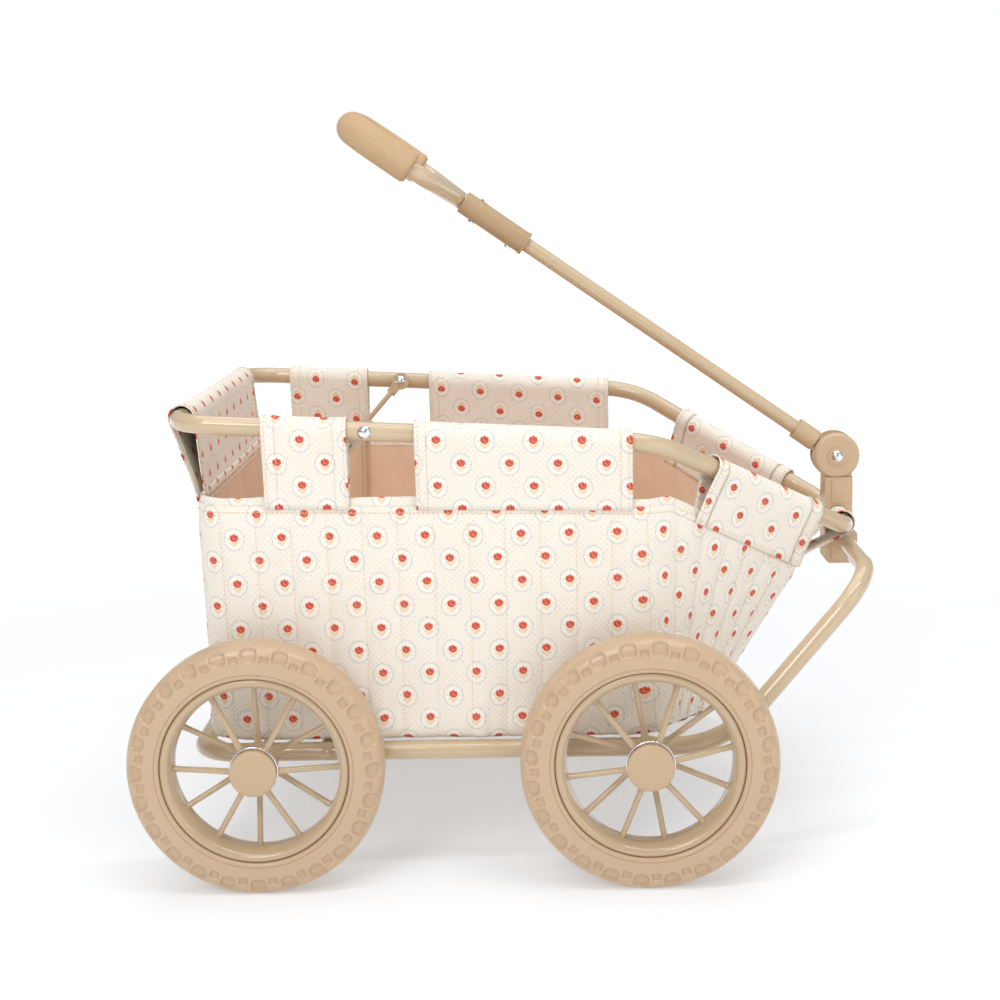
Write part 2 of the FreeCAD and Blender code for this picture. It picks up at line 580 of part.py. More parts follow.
def basket_ring(z, rear, knee, front, inset):
    """Rounded outline of the basket at a height: rear corner, knee and nose corner of the left side."""
    corners = [Vector(rear[0] + inset, rear[1] - inset, z)]
    corners.append(Vector(knee[0] - 0.3 * inset, knee[1] - inset, z))
    corners.append(Vector(front[0] - inset, front[1] - 0.6 * inset, z))
    far_corners = [mirror_y(point) for point in reversed(corners)]
    radii = [28.0 - inset, 40.0, 24.0]
    return rounded_path(corners + far_corners, radii + list(reversed(radii)), True)


TOP_AT = 330.0
LOW_AT = S["floor_z"]


def basket_loft(inset, floor):
    """Solid between the floor outline and the top outline, both drawn in by the inset."""
    slope = (TOP_AT - LOW_AT) / 192.4
    low = [(-242.0, 186.0), (110.0, 186.0), (160.0, 110.0)]
    top = [(-247.0, 187.0), (105.0, 187.0), (288.0, 82.0)]
    high = [(a[0] + (b[0] - a[0]) * slope, a[1] + (b[1] - a[1]) * slope) for a, b in zip(low, top)]
    part = floor / 192.4
    start = [(a[0] + (b[0] - a[0]) * part, a[1] + (b[1] - a[1]) * part) for a, b in zip(low, top)]
    wires = [basket_ring(LOW_AT + floor, *start, inset), basket_ring(TOP_AT, *high, inset)]
    return Part.makeLoft(wires, True, True)


def seam_height(x):
    """Height of the top seam at a station along the wagon."""
    if x < 126.0:
        return S["seam_z"] - 8.0 * (x + 247.0) / 373.0
    return S["seam_z"] - 8.0 - (x - 126.0) * 0.592


def above_seam(rise_by):
    """Everything over the seam line, to trim the basket's walls."""
    low = [Vector(x, -300, seam_height(x) + rise_by) for x in (-300.0, 126.0, 360.0)]
    outline_above = low + [Vector(360, -300, 500), Vector(-300, -300, 500), low[0]]
    return Part.Face(Part.makePolygon(outline_above)).extrude(Vector(0, 600, 0))


T = S["wall_t"]
L = S["lining_t"]
shell_skin = basket_loft(0.0, 0.0).cut(basket_loft(T, T)).cut(above_seam(0.0))
lining_skin = basket_loft(T, T).cut(basket_loft(T + L, T + L)).cut(above_seam(-1.0))
brace_ways = []
for side in (1, -1):
    low = Vector(S["brace_foot_x"] - 9.0, side * (S["rod_y"] + 0.5) - 3.6, LOW_AT - 2)
    brace_ways.append(Part.makeBox(18.0, 7.2, 12.0, low))
for way in brace_ways:
    shell_skin = shell_skin.cut(way)
    lining_skin = lining_skin.cut(way)
node(shape("shell_solid", shell_skin), "basket_shell")
node(shape("lining_solid", lining_skin), "basket_lining")
board_z = LOW_AT + T + L + 0.02
board_corners = [Vector(x, y, board_z) for x, y in ((-228.0, 168.0), (104.0, 168.0), (150.0, 96.0))]
board_wire = rounded_path(board_corners + [mirror_y(p) for p in reversed(board_corners)],
                          [24.0, 30.0, 20.0, 20.0, 30.0, 24.0], True)
node(shape("board_solid", Part.Face(board_wire).extrude(Vector(0, 0, 3.0))), "base_board")

# --- straps over the rails ---------------------------------------------------------------------------


def keyhole(centre, side, down, radius, reach, half_width):
    """Closed outline round a tube that narrows to a hem: a circle and a short line, joined by tangents."""
    gap = math.atan2(half_width, reach)
    lean = math.acos((radius) / math.hypot(reach, half_width))
    left = math.pi - gap - lean

    def at(angle, length):
        return centre + side * (math.sin(angle) * length) + down * (-math.cos(angle) * length)

    a = at(left, radius)
    b = at(-left, radius)
    crown = at(0.0, radius)
    hem_a = centre + side * half_width + down * reach
    hem_b = centre - side * half_width + down * reach
    edges = [Part.Arc(a, crown, b).toShape(), Part.LineSegment(b, hem_b).toShape(),
             Part.LineSegment(hem_b, hem_a).toShape(), Part.LineSegment(hem_a, a).toShape()]
    return Part.Wire(edges)


def strap(stations):
    """A doubled cloth strap through its stations: centre, side and down directions, and hem depth."""
    outer = [keyhole(c, s, d, S["tube_r"] + 2.0, reach, 3.6) for c, s, d, reach in stations]
    inner = [keyhole(c, s, d, S["tube_r"] + 0.06, reach - 4.5, 1.2) for c, s, d, reach in stations]
    return Part.makeLoft(outer, True, True).cut(Part.makeLoft(inner, True, True))


def side_station(x, side):
    """Strap station on the straight rail."""
    z = rail_height(x)
    hem = seam_height(x)
    centre = Vector(x, side * S["rail_half"], z)
    return (centre, Vector(0, side, 0), Vector(0, 0, -1), z - hem)


def nose_station(part, reach, side):
    """Strap station on the slanting nose of the rail, at a part of the way from the knee to the nose."""
    knee = rail_side[1]
    nose = rail_side[2]
    centre = knee + (nose - knee) * part
    heading = (nose - knee).normalize()
    down = Vector(0, 0, -1)
    down = (down - heading * heading.dot(down)).normalize()
    across = heading.cross(down).normalize()
    if across.y < 0:
        across = across * -1
    if side < 0:
        centre = mirror_y(centre)
        down = mirror_y(down)
        across = mirror_y(across)
    return (centre, across, down, reach)


tab_ends = {"left": ((-217.0, -142.0), (-83.0, 90.0)), "right": ((-190.0, -124.0), (-72.0, 96.0))}
for tag, side in (("left", 1), ("right", -1)):
    for place, ends in zip(("rear", "middle"), tab_ends[tag]):
        tab_name = "%s_tab_%s" % (place, tag)
        node(shape(tab_name + "_solid", strap([side_station(x, side) for x in ends])), tab_name)
    stations = [nose_station(0.27, 44.5, side), nose_station(0.815, 46.0, side)]
    front_tab = strap(stations).common(above_seam(0.02))
    node(shape("front_tab_%s_solid" % tag, front_tab), "front_tab_" + tag)

rear_tube = Vector(S["rail_rear_x"], 0, S["rail_rear_z"])
rear_hem = Vector(-245.5, 0, 299.2)
front_tube = Vector(S["rail_nose_x"], 0, S["rail_nose_z"])
front_hem = Vector(241.5, 0, 223.5)
for tag, tube, hem, half in (("rear", rear_tube, rear_hem, 152.0), ("front", front_tube, front_hem, 44.0)):
    down = (hem - tube).normalize()
    across = down.cross(Y_AXIS)
    depth = (hem - tube).Length
    stations = [(tube + Vector(0, y, 0), across, down, depth) for y in (-half, half)]
    flap = strap(stations)
    if tag == "front":
        half_gap = S["block_half"] + 0.6
        flap = flap.cut(Part.makeBox(60.0, 2 * half_gap, 120.0, Vector(262.0, -half_gap, 180.0)))
    else:
        flap = flap.common(above_seam(0.02))
    node(shape(tag + "_flap_solid", flap), tag + "_flap")

# --- check and write ---------------------------------------------------------------------------------

doc.recompute()
for obj in doc.Objects:
    if "Invalid" in obj.State or "Error" in obj.State:
        raise RuntimeError("broken object: " + obj.Name)
os.makedirs("parts", exist_ok=True)
for obj in OUT:
    solid = obj.Shape
    if solid.isNull() or not solid.isValid():
        raise RuntimeError("bad shape: " + obj.Label)
    if solid.Volume <= 0:
        raise RuntimeError("empty shape: " + obj.Label)
    solid.exportStep("parts/" + obj.Label + ".step")
    bounds = solid.BoundBox
    print("%-22s solids %d  volume %.0f  x %.1f..%.1f  y %.1f..%.1f  z %.1f..%.1f" % (
        obj.Label, len(solid.Solids), solid.Volume, bounds.XMin, bounds.XMax,
        bounds.YMin, bounds.YMax, bounds.ZMin, bounds.ZMax))
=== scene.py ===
"""Looks of a child's cloth wagon: tube chassis on foam tyres, quilted basket and swivelling pull handle."""

import json
import logging
import math
from dataclasses import dataclass, field
from enum import Enum
from typing import Callable, Sequence, Union

import bmesh
import bpy
import numpy as np
from mathutils import Matrix, Vector, noise

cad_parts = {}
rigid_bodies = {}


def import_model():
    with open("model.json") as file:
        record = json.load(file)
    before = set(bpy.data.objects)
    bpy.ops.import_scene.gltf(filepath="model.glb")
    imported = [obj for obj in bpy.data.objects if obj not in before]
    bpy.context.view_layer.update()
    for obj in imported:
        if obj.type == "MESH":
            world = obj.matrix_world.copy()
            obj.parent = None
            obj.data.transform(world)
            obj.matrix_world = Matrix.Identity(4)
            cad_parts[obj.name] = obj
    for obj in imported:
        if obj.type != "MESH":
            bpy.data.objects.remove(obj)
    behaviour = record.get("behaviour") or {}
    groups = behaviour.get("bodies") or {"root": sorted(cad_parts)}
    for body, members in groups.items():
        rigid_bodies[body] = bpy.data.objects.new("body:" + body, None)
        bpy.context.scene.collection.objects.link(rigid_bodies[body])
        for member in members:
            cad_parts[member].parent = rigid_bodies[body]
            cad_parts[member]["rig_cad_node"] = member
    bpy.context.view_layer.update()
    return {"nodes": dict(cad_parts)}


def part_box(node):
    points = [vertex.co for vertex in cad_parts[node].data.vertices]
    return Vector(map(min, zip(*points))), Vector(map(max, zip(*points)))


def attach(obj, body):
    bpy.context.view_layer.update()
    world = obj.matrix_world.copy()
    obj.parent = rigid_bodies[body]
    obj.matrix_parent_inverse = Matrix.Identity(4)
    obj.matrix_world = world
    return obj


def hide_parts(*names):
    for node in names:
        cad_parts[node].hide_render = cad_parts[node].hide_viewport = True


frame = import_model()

LOG = logging.getLogger("wagon")
MM = 0.001
SOFT = 60.0
UV_NAME = "Cloth"
Y_AXIS = Vector((0.0, 1.0, 0.0))
Z_AXIS = Vector((0.0, 0.0, 1.0))

Operand = Union["Value", float]
Colour = tuple[float, float, float, float]


def linear(red: float, green: float, blue: float) -> Colour:
    """Colour for a shader from the 0 to 255 values of a paint chart.

    Args:
        red: Red on the chart.
        green: Green on the chart.
        blue: Blue on the chart.

    Returns:
        The same colour in linear light, with full alpha.
    """
    chart = [c / 255.0 for c in (red, green, blue)]
    light = [c / 12.92 if c <= 0.04045 else ((c + 0.055) / 1.055) ** 2.4 for c in chart]
    return (light[0], light[1], light[2], 1.0)


# --- shaders ------------------------------------------------------------------------------------


def maths(operation: str, meaning: str, flipped: bool = False) -> Callable[..., "Value"]:
    """Method that adds one Math node.

    Args:
        operation: The node's operation.
        meaning: What the method gives, for its docstring.
        flipped: Whether the other operand stands on the left.

    Returns:
        The method.
    """

    def apply(self: "Value", *others: Operand) -> "Value":
        """Link the operands to the node's sockets in order."""
        operands = (*others, self) if flipped else (self, *others)
        made = self.shader.node("ShaderNodeMath", {"operation": operation}, dict(enumerate(operands)))
        return Value(self.shader, made.outputs[0])

    apply.__doc__ = meaning
    return apply


class Value:
    """A quantity that changes over a surface: a socket with arithmetic."""

    __add__ = maths("ADD", "Sum.")
    __radd__ = maths("ADD", "Sum with a number on the left.", True)
    __sub__ = maths("SUBTRACT", "Difference.")
    __rsub__ = maths("SUBTRACT", "Difference from a number on the left.", True)
    __mul__ = maths("MULTIPLY", "Product.")
    __rmul__ = maths("MULTIPLY", "Product with a number on the left.", True)
    __truediv__ = maths("DIVIDE", "Quotient.")
    __gt__ = maths("GREATER_THAN", "One where this is greater, zero elsewhere.")
    fraction = maths("FRACT", "Part after the decimal point.")
    size = maths("ABSOLUTE", "Absolute value.")
    root = maths("SQRT", "Square root.")
    cosine = maths("COSINE", "Cosine of an angle in radians.")
    angle_to = maths("ARCTAN2", "Angle of the point (across, self) round the origin.")
    greater = maths("MAXIMUM", "Greater of the two.")

    def __init__(self, shader: "Shader", socket: bpy.types.NodeSocket) -> None:
        """Keep the socket and the shader that it belongs to."""
        self.shader = shader
        self.socket = socket

    def smooth(self, low: float, high: float) -> "Value":
        """Soft step from 0 at low to 1 at high; low may be the higher number."""
        made = self.shader.node("ShaderNodeMapRange", {"interpolation_type": "SMOOTHSTEP"},
                                {"Value": self, "From Min": low, "From Max": high, "To Min": 0.0,
                                 "To Max": 1.0})
        return Value(self.shader, made.outputs[0])


class Shader:
    """A material under construction round one Principled surface."""

    def __init__(self, name: str) -> None:
        """Start an empty material.

        Args:
            name: Name of the material.
        """
        self.material = bpy.data.materials.new(name)
        self.material.use_nodes = True
        self.tree = self.material.node_tree
        self.tree.nodes.clear()
        self.surface = self.node("ShaderNodeBsdfPrincipled")
        self.node("ShaderNodeOutputMaterial", {}, {"Surface": self.surface.outputs[0]})

    def node(self, kind: str, settings: dict | None = None, inputs: dict | None = None) -> bpy.types.Node:
        """Add a node.

        Args:
            kind: The node's type.
            settings: Properties that are set before the sockets.
            inputs: Socket names or numbers with their values or links.

        Returns:
            The node.
        """
        made = self.tree.nodes.new(kind)
        for key, value in (settings or {}).items():
            setattr(made, key, value)
        for key, value in (inputs or {}).items():
            if isinstance(value, Value):
                value = value.socket
            if isinstance(value, bpy.types.NodeSocket):
                self.tree.links.new(value, made.inputs[key])
            else:
                made.inputs[key].default_value = value
        return made

    def place(self) -> Value:
        """Position in the piece's own space, in metres."""
        return Value(self, self.node("ShaderNodeTexCoord").outputs["Object"])

    def cloth(self) -> Value:
        """Position on the cloth as it was cut, in metres."""
        return Value(self, self.node("ShaderNodeUVMap", {"uv_map": UV_NAME}).outputs[0])

    def parts(self, vector: Value) -> list[Value]:
        """The three components of a vector."""
        made = self.node("ShaderNodeSeparateXYZ", {}, {0: vector})
        return [Value(self, socket) for socket in made.outputs]

    def grain(self, at: Value, per_metre: float, detail: float = 2.0) -> Value:
        """Soft noise from 0 to 1.

        Args:
            at: Where the noise is read.
            per_metre: How many of its features fit in a metre.
            detail: How many finer layers are added.

        Returns:
            The noise.
        """
        made = self.node("ShaderNodeTexNoise", {}, {"Vector": at, "Scale": per_metre, "Detail": detail})
        return Value(self, made.outputs[0])

    def specks(self, at: Value, per_metre: float) -> tuple[Value, Value]:
        """Scattered cells.

        Args:
            at: Where the cells are read.
            per_metre: How many cells fit in a metre.

        Returns:
            Distance from the cell's middle, in cells, and the cell's own random colour.
        """
        made = self.node("ShaderNodeTexVoronoi", {}, {"Vector": at, "Scale": per_metre})
        return Value(self, made.outputs["Distance"]), Value(self, made.outputs["Color"])

    def blend(self, amount: Operand, first: Union[Value, Colour], second: Union[Value, Colour]) -> Value:
        """Mix of two colours.

        Args:
            amount: Share of the second colour.
            first: Colour at 0.
            second: Colour at 1.

        Returns:
            The mixed colour.
        """
        made = self.node("ShaderNodeMix", {"data_type": "RGBA"}, {0: amount, 6: first, 7: second})
        return Value(self, made.outputs[2])

    def relief(self, height: Value, depth: float) -> Value:
        """Normal of a surface that is raised by a height from 0 to 1.

        Args:
            height: The relief.
            depth: How deep it is, in metres.

        Returns:
            The bent normal.
        """
        made = self.node("ShaderNodeBump", {}, {"Strength": 1.0, "Distance": depth, "Height": height})
        return Value(self, made.outputs[0])

    def finish(self, **sockets: Union[Value, Colour, float]) -> bpy.types.Material:
        """Set the surface's sockets, named with _ for a space.

        Args:
            **sockets: Values, colours or links.

        Returns:
            The finished material.
        """
        for key, value in sockets.items():
            socket = self.surface.inputs[key.replace("_", " ")]
            if isinstance(value, Value):
                self.tree.links.new(value.socket, socket)
            else:
                socket.default_value = value
        return self.material


# --- finishes -----------------------------------------------------------------------------------


@dataclass(frozen=True)
class Paint:
    """Stove enamel or gloss moulding: even colour, faint orange peel, and a little dulling."""

    name: str
    colour: Colour
    dust: Colour
    roughness: float = 0.3
    coat: float = 0.35
    peel: float = 0.00004

    def material(self) -> bpy.types.Material:
        """Build the material."""
        shader = Shader(self.name)
        place = shader.place()
        cloudy = shader.grain(place, 18.0, 3.0)
        fine = shader.grain(place, 420.0, 1.0)
        colour = shader.blend(cloudy.smooth(0.35, 0.75) * 0.5, self.colour, self.dust)
        rough = cloudy * 0.10 + (self.roughness - 0.05)
        return shader.finish(Base_Color=colour, Roughness=rough, Normal=shader.relief(fine, self.peel),
                             Coat_Weight=self.coat, Coat_Roughness=0.06)


@dataclass(frozen=True)
class Foam:
    """Closed-cell foam with a fine skin and small speckles."""

    name: str
    colour: Colour
    speck: Colour
    roughness: float = 0.6
    cells: float = 900.0
    amount: float = 0.5
    depth: float = 0.00008
    shine: float = 0.12

    def material(self) -> bpy.types.Material:
        """Build the material."""
        shader = Shader(self.name)
        place = shader.place()
        distance, tone = shader.specks(place, self.cells)
        pick = shader.parts(tone)[0]
        spots = distance.smooth(0.55, 0.15) * pick.smooth(0.45, 0.9)
        cloudy = shader.grain(place, 14.0, 2.0)
        base = shader.blend(spots * self.amount, self.colour, self.speck)
        colour = shader.blend(cloudy.smooth(0.4, 0.8) * 0.25, base, self.speck)
        fine = shader.grain(place, self.cells * 0.7, 2.0)
        rough = cloudy * 0.12 + (self.roughness - 0.06)
        return shader.finish(Base_Color=colour, Roughness=rough, Normal=shader.relief(fine, self.depth),
                             Specular_IOR_Level=self.shine)


@dataclass(frozen=True)
class Plating:
    """Bright plated or plain steel with hair scratches."""

    name: str
    colour: Colour
    roughness: float = 0.16

    def material(self) -> bpy.types.Material:
        """Build the material."""
        shader = Shader(self.name)
        place = shader.place()
        cloudy = shader.grain(place, 160.0, 4.0)
        scratch = shader.grain(place, 1400.0, 1.0)
        rough = cloudy * 0.12 + (self.roughness - 0.05)
        return shader.finish(Base_Color=self.colour, Metallic=1.0, Roughness=rough,
                             Normal=shader.relief(scratch, 0.00002))


@dataclass(frozen=True)
class Weave:
    """Plain woven cotton: cross threads, soft slubs and a little sheen."""

    name: str
    colour: Colour
    shade: Colour
    threads: float = 1500.0
    depth: float = 0.00010

    def threads_of(self, shader: Shader, cloth: Value) -> Value:
        """Height of the crossing threads.

        Args:
            shader: The material under construction.
            cloth: Position on the cloth.

        Returns:
            A relief from 0 to 1.
        """
        across, along, _ = shader.parts(cloth)
        turn = self.threads * math.pi
        warp = (across * turn).cosine().size()
        weft = (along * turn).cosine().size()
        slub = shader.grain(cloth, 260.0, 2.0)
        return (warp + weft) * 0.3 + slub * 0.4

    def material(self) -> bpy.types.Material:
        """Build the material."""
        shader = Shader(self.name)
        cloth = shader.cloth()
        height = self.threads_of(shader, cloth)
        cloudy = shader.grain(cloth, 26.0, 3.0)
        colour = shader.blend(cloudy.smooth(0.3, 0.8) * 0.5 + height * 0.15, self.colour, self.shade)
        return shader.finish(Base_Color=colour, Roughness=0.85, Normal=shader.relief(height, self.depth),
                             Specular_IOR_Level=0.15, Sheen_Weight=0.08, Sheen_Roughness=0.5)


@dataclass(frozen=True)
class FlowerPrint:
    """Cream cotton with small tulips in scalloped ovals, set in a half-drop, and pin dots between them."""

    name: str = "printed_cotton"
    ground: Colour = linear(247, 240, 228)
    oval: Colour = linear(250, 244, 234)
    edge: Colour = linear(192, 199, 204)
    petal: Colour = linear(205, 52, 36)
    petal_light: Colour = linear(240, 142, 112)
    leaf: Colour = linear(214, 208, 150)
    bud: Colour = linear(248, 202, 158)
    dot_blue: Colour = linear(186, 194, 204)
    dot_tan: Colour = linear(222, 190, 160)
    dull: Colour = linear(206, 186, 166)
    pin_pitch: float = 0.0046
    across: float = 0.0374
    along: float = 0.0367
    half_wide: float = 0.0079
    half_tall: float = 0.0089
    shift: tuple[float, float] = (0.0, 0.0)

    def nearest(self, shader: Shader, cloth: Value) -> tuple[Value, Value]:
        """Offset from the nearest oval's middle.

        Args:
            shader: The material under construction.
            cloth: Position on the cloth.

        Returns:
            The offsets across and along, in metres.
        """
        x, y, _ = shader.parts(cloth)

        def offsets(start: float) -> tuple[Value, Value, Value]:
            """Offsets in one of the two rectangular lattices, and their squared size."""
            dx = ((x + self.shift[0]) / self.across + start).fraction() * self.across - self.across / 2
            dy = ((y + self.shift[1]) / self.along + start).fraction() * self.along - self.along / 2
            return dx, dy, dx * dx + dy * dy

        first_x, first_y, first_far = offsets(50.0)
        other_x, other_y, other_far = offsets(50.5)
        other = first_far > other_far
        return first_x + (other_x - first_x) * other, first_y + (other_y - first_y) * other

    def pin_dots(self, shader: Shader, cloth: Value) -> Value:
        """Fine dots of the ground in a half-drop.

        Args:
            shader: The material under construction.
            cloth: Position on the cloth.

        Returns:
            One inside a dot.
        """
        x, y, _ = shader.parts(cloth)
        dots = None
        for start in (50.0, 50.5):
            dx = (x / self.pin_pitch + start).fraction() - 0.5
            dy = (y / self.pin_pitch + start).fraction() - 0.5
            dot = (dx * dx + dy * dy).root().smooth(0.17, 0.07)
            dots = dot if dots is None else dots.greater(dot)
        return dots * shader.grain(cloth, 500.0, 1.0).smooth(0.3, 0.6)

    def oval_mask(self, x: Value, y: Value, middle: tuple[float, float], half: tuple[float, float],
                  lean: float = 0.0, soft: float = 0.25) -> Value:
        """One inside a small oval, fading over its edge.

        Args:
            x: Offset across.
            y: Offset along.
            middle: The oval's middle, in metres.
            half: Its half sizes, in metres.
            lean: Its turn, in radians.
            soft: Width of the fading edge, as a share of the oval.

        Returns:
            The mask.
        """
        cos, sin = math.cos(lean), math.sin(lean)
        dx, dy = x - middle[0], y - middle[1]
        u = (dx * cos + dy * sin) / half[0]
        v = (dy * cos - dx * sin) / half[1]
        return (u * u + v * v).root().smooth(1.0 + soft, 1.0 - soft)

    def material(self) -> bpy.types.Material:
        """Build the material."""
        shader = Shader(self.name)
        cloth = shader.cloth()
        x, y = self.nearest(shader, cloth)
        worn = shader.grain(cloth, 900.0, 2.0)

        pins = self.pin_dots(shader, cloth)
        kind = shader.grain(cloth, 70.0, 1.0).smooth(0.47, 0.53)
        colour = shader.blend(pins * 0.6, self.ground, shader.blend(kind, self.dot_blue, self.dot_tan))

        u, v = x / self.half_wide, y / self.half_tall
        radius = (u * u + v * v).root() * ((v.angle_to(u) * 13.0).cosine() * 0.035 + 1.0)
        inside = radius.smooth(1.05, 0.90)
        rim = (radius - 0.97).size().smooth(0.12, 0.02) * worn.smooth(0.30, 0.62)
        colour = shader.blend(inside, colour, self.oval)
        colour = shader.blend(rim * 0.85, colour, self.edge)

        for side in (-1, 1):
            leaf = self.oval_mask(x, y, (side * 0.0022, -0.0030), (0.0007, 0.0022), side * -0.9, 0.4)
            speck = self.oval_mask(x, y, (side * 0.0048, 0.0006), (0.0010, 0.0007), side * 0.5, 0.5)
            colour = shader.blend(leaf * worn.smooth(0.25, 0.6) * 0.9, colour, self.leaf)
            colour = shader.blend(speck * 0.7, colour, self.bud)
        for low, half, amount in ((-0.0022, 0.0026, 0.6), (-0.0046, 0.0014, 0.75)):
            foot = self.oval_mask(x, y, (0.0002, low), (half, 0.0010), 0.1, 0.5)
            colour = shader.blend(foot * amount, colour, self.bud)

        bloom = self.oval_mask(x, y, (0.0, 0.0014), (0.0034, 0.0031), 0.0, 0.14)
        for side in (-1, 1):
            notch = self.oval_mask(x, y, (side * 0.0012, 0.0048), (0.0006, 0.0014), side * 0.3, 0.35)
            bloom = bloom * (1.0 - notch)
        heart = self.oval_mask(x, y, (0.0004, 0.0014), (0.0015, 0.0017), 0.4, 0.3)
        core = self.oval_mask(x, y, (0.0007, 0.0018), (0.0009, 0.0012), 0.4, 0.3)
        tulip = shader.blend(worn.smooth(0.3, 0.7) * 0.35, self.petal, self.petal_light)
        tulip = shader.blend(heart * 0.8, tulip, self.petal_light)
        tulip = shader.blend(core, tulip, self.petal)
        colour = shader.blend(bloom, colour, tulip)

        height = Weave("cotton", self.ground, self.ground).threads_of(shader, cloth)
        shade = shader.grain(cloth, 30.0, 3.0)
        dulled = shade.smooth(0.35, 0.85) * 0.10 + height * 0.06
        colour = shader.blend(dulled, colour, self.dull)
        return shader.finish(Base_Color=colour, Roughness=0.82, Normal=shader.relief(height, 0.00008),
                             Specular_IOR_Level=0.15, Sheen_Weight=0.06, Sheen_Roughness=0.5)


@dataclass(frozen=True)
class Backdrop:
    """Matt white studio floor that is lit from within where the lamps no longer reach it."""

    name: str = "backdrop_paper"
    colour: Colour = (0.76, 0.77, 0.79, 1.0)
    near: float = 0.7
    far: float = 2.4
    low: Colour = (0.27, 0.28, 0.29, 1.0)
    high: Colour = (0.80, 0.80, 0.80, 1.0)

    def material(self) -> bpy.types.Material:
        """Build the material."""
        shader = Shader(self.name)
        x, y, _ = shader.parts(shader.place())
        away = (x * x + y * y).root().smooth(self.near, self.far)
        glow = shader.blend(away, self.low, self.high)
        return shader.finish(Base_Color=self.colour, Roughness=0.95, Specular_IOR_Level=0.0,
                             Emission_Color=glow, Emission_Strength=1.0)


class Finish(Enum):
    """The finishes that the wagon is dressed in, by the record's material slot."""

    TUBE = ("frame_paint", Paint("tube_enamel", linear(207, 184, 150), linear(199, 175, 140), 0.24, 0.9))
    RIM = ("rim_plastic", Paint("rim_moulding", linear(199, 174, 140), linear(191, 164, 129), 0.25, 0.8))
    CAP = ("rim_plastic", Paint("cap_moulding", linear(203, 175, 141), linear(195, 166, 131), 0.45, 0.05))
    JOINT = ("bracket_plastic", Paint("joint_moulding",
                                      linear(205, 177, 142), linear(197, 168, 132), 0.36, 0.25))
    COLLAR = ("bracket_plastic", Paint("collar_moulding",
                                       linear(181, 152, 116), linear(174, 144, 108), 0.42, 0.1))
    TYRE = ("tyre_foam", Foam("smooth_foam",
                              linear(204, 175, 142), linear(196, 166, 132), 0.27, 1500.0, 0.3, 0.00003, 0.65))
    GRIP = ("grip_foam", Foam("cell_foam",
                              linear(198, 168, 132), linear(168, 136, 101), 0.75, 800.0, 0.6, 0.00015))
    CHROME = ("bright_steel", Plating("bright_plate", (0.83, 0.84, 0.86, 1.0), 0.14))
    ZINC = ("axle_steel", Plating("zinc_plate", (0.60, 0.60, 0.61, 1.0), 0.32))
    SPRING = ("spring_steel", Plating("spring_plate", (0.52, 0.52, 0.54, 1.0), 0.28))
    PRINT = ("print_cloth", FlowerPrint())
    LINING = ("lining_cloth", Weave("lining_cotton", linear(236, 205, 178), linear(224, 191, 163)))
    THREAD = ("print_cloth", Foam("tan_thread",
                                  linear(233, 210, 178), linear(214, 186, 150), 0.7, 2500.0, 0.5))
    BOARD = ("board", Weave("board_cloth", linear(214, 178, 150), linear(201, 164, 135)))

    def dress(self, obj: bpy.types.Object) -> bpy.types.Object:
        """Give a piece this finish and name its slot in the record.

        Args:
            obj: The piece, new or from the frame.

        Returns:
            The same piece.
        """
        slot, finish = self.value
        material = bpy.data.materials.get(finish.name) or finish.material()
        if obj.material_slots:
            for held in obj.material_slots:
                held.material = material
        else:
            obj.data.materials.append(material)
        return obj


def dress_nodes(finishes: dict[Finish, tuple]) -> None:
    """Give the frame's own nodes their finishes."""
    for finish, names in finishes.items():
        for name in names:
            finish.dress(frame["nodes"][name])


def set_up(obj: bpy.types.Object, finish: Finish, body: str, *nodes: str) -> bpy.types.Object:
    """Dress a new piece, name the nodes that it stands for and set it on its body.

    Args:
        obj: The piece.
        finish: What it is made of.
        body: The body that carries it.
        *nodes: The frame's nodes that it replaces, if any.

    Returns:
        The same piece.
    """
    finish.dress(obj)
    if nodes:
        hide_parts(*nodes)
    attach(obj, body)
    return obj


# --- meshes -------------------------------------------------------------------------------------


def new_piece(name: str, points: Sequence, faces: Sequence, uvs: Sequence | None = None,
              crease: float = 40.0) -> bpy.types.Object:
    """Make a smooth-shaded mesh object.

    Args:
        name: The piece's name.
        points: Its vertices, in metres.
        faces: Its faces, as vertex numbers.
        uvs: For each face, its corners' places on the cloth.
        crease: Edges that bend more than this many degrees are sharp.

    Returns:
        The object, linked to the scene.
    """
    mesh = bpy.data.meshes.new(name)
    mesh.from_pydata([tuple(p) for p in points], [], [tuple(f) for f in faces])
    if uvs is not None:
        layer = mesh.uv_layers.new(name=UV_NAME)
        layer.data.foreach_set("uv", np.asarray([c for face in uvs for c in face], np.float32).ravel())
    mesh.shade_smooth()
    mesh.set_sharp_from_angle(angle=math.radians(crease))
    mesh.validate()
    obj = bpy.data.objects.new(name, mesh)
    bpy.context.scene.collection.objects.link(obj)
    return obj


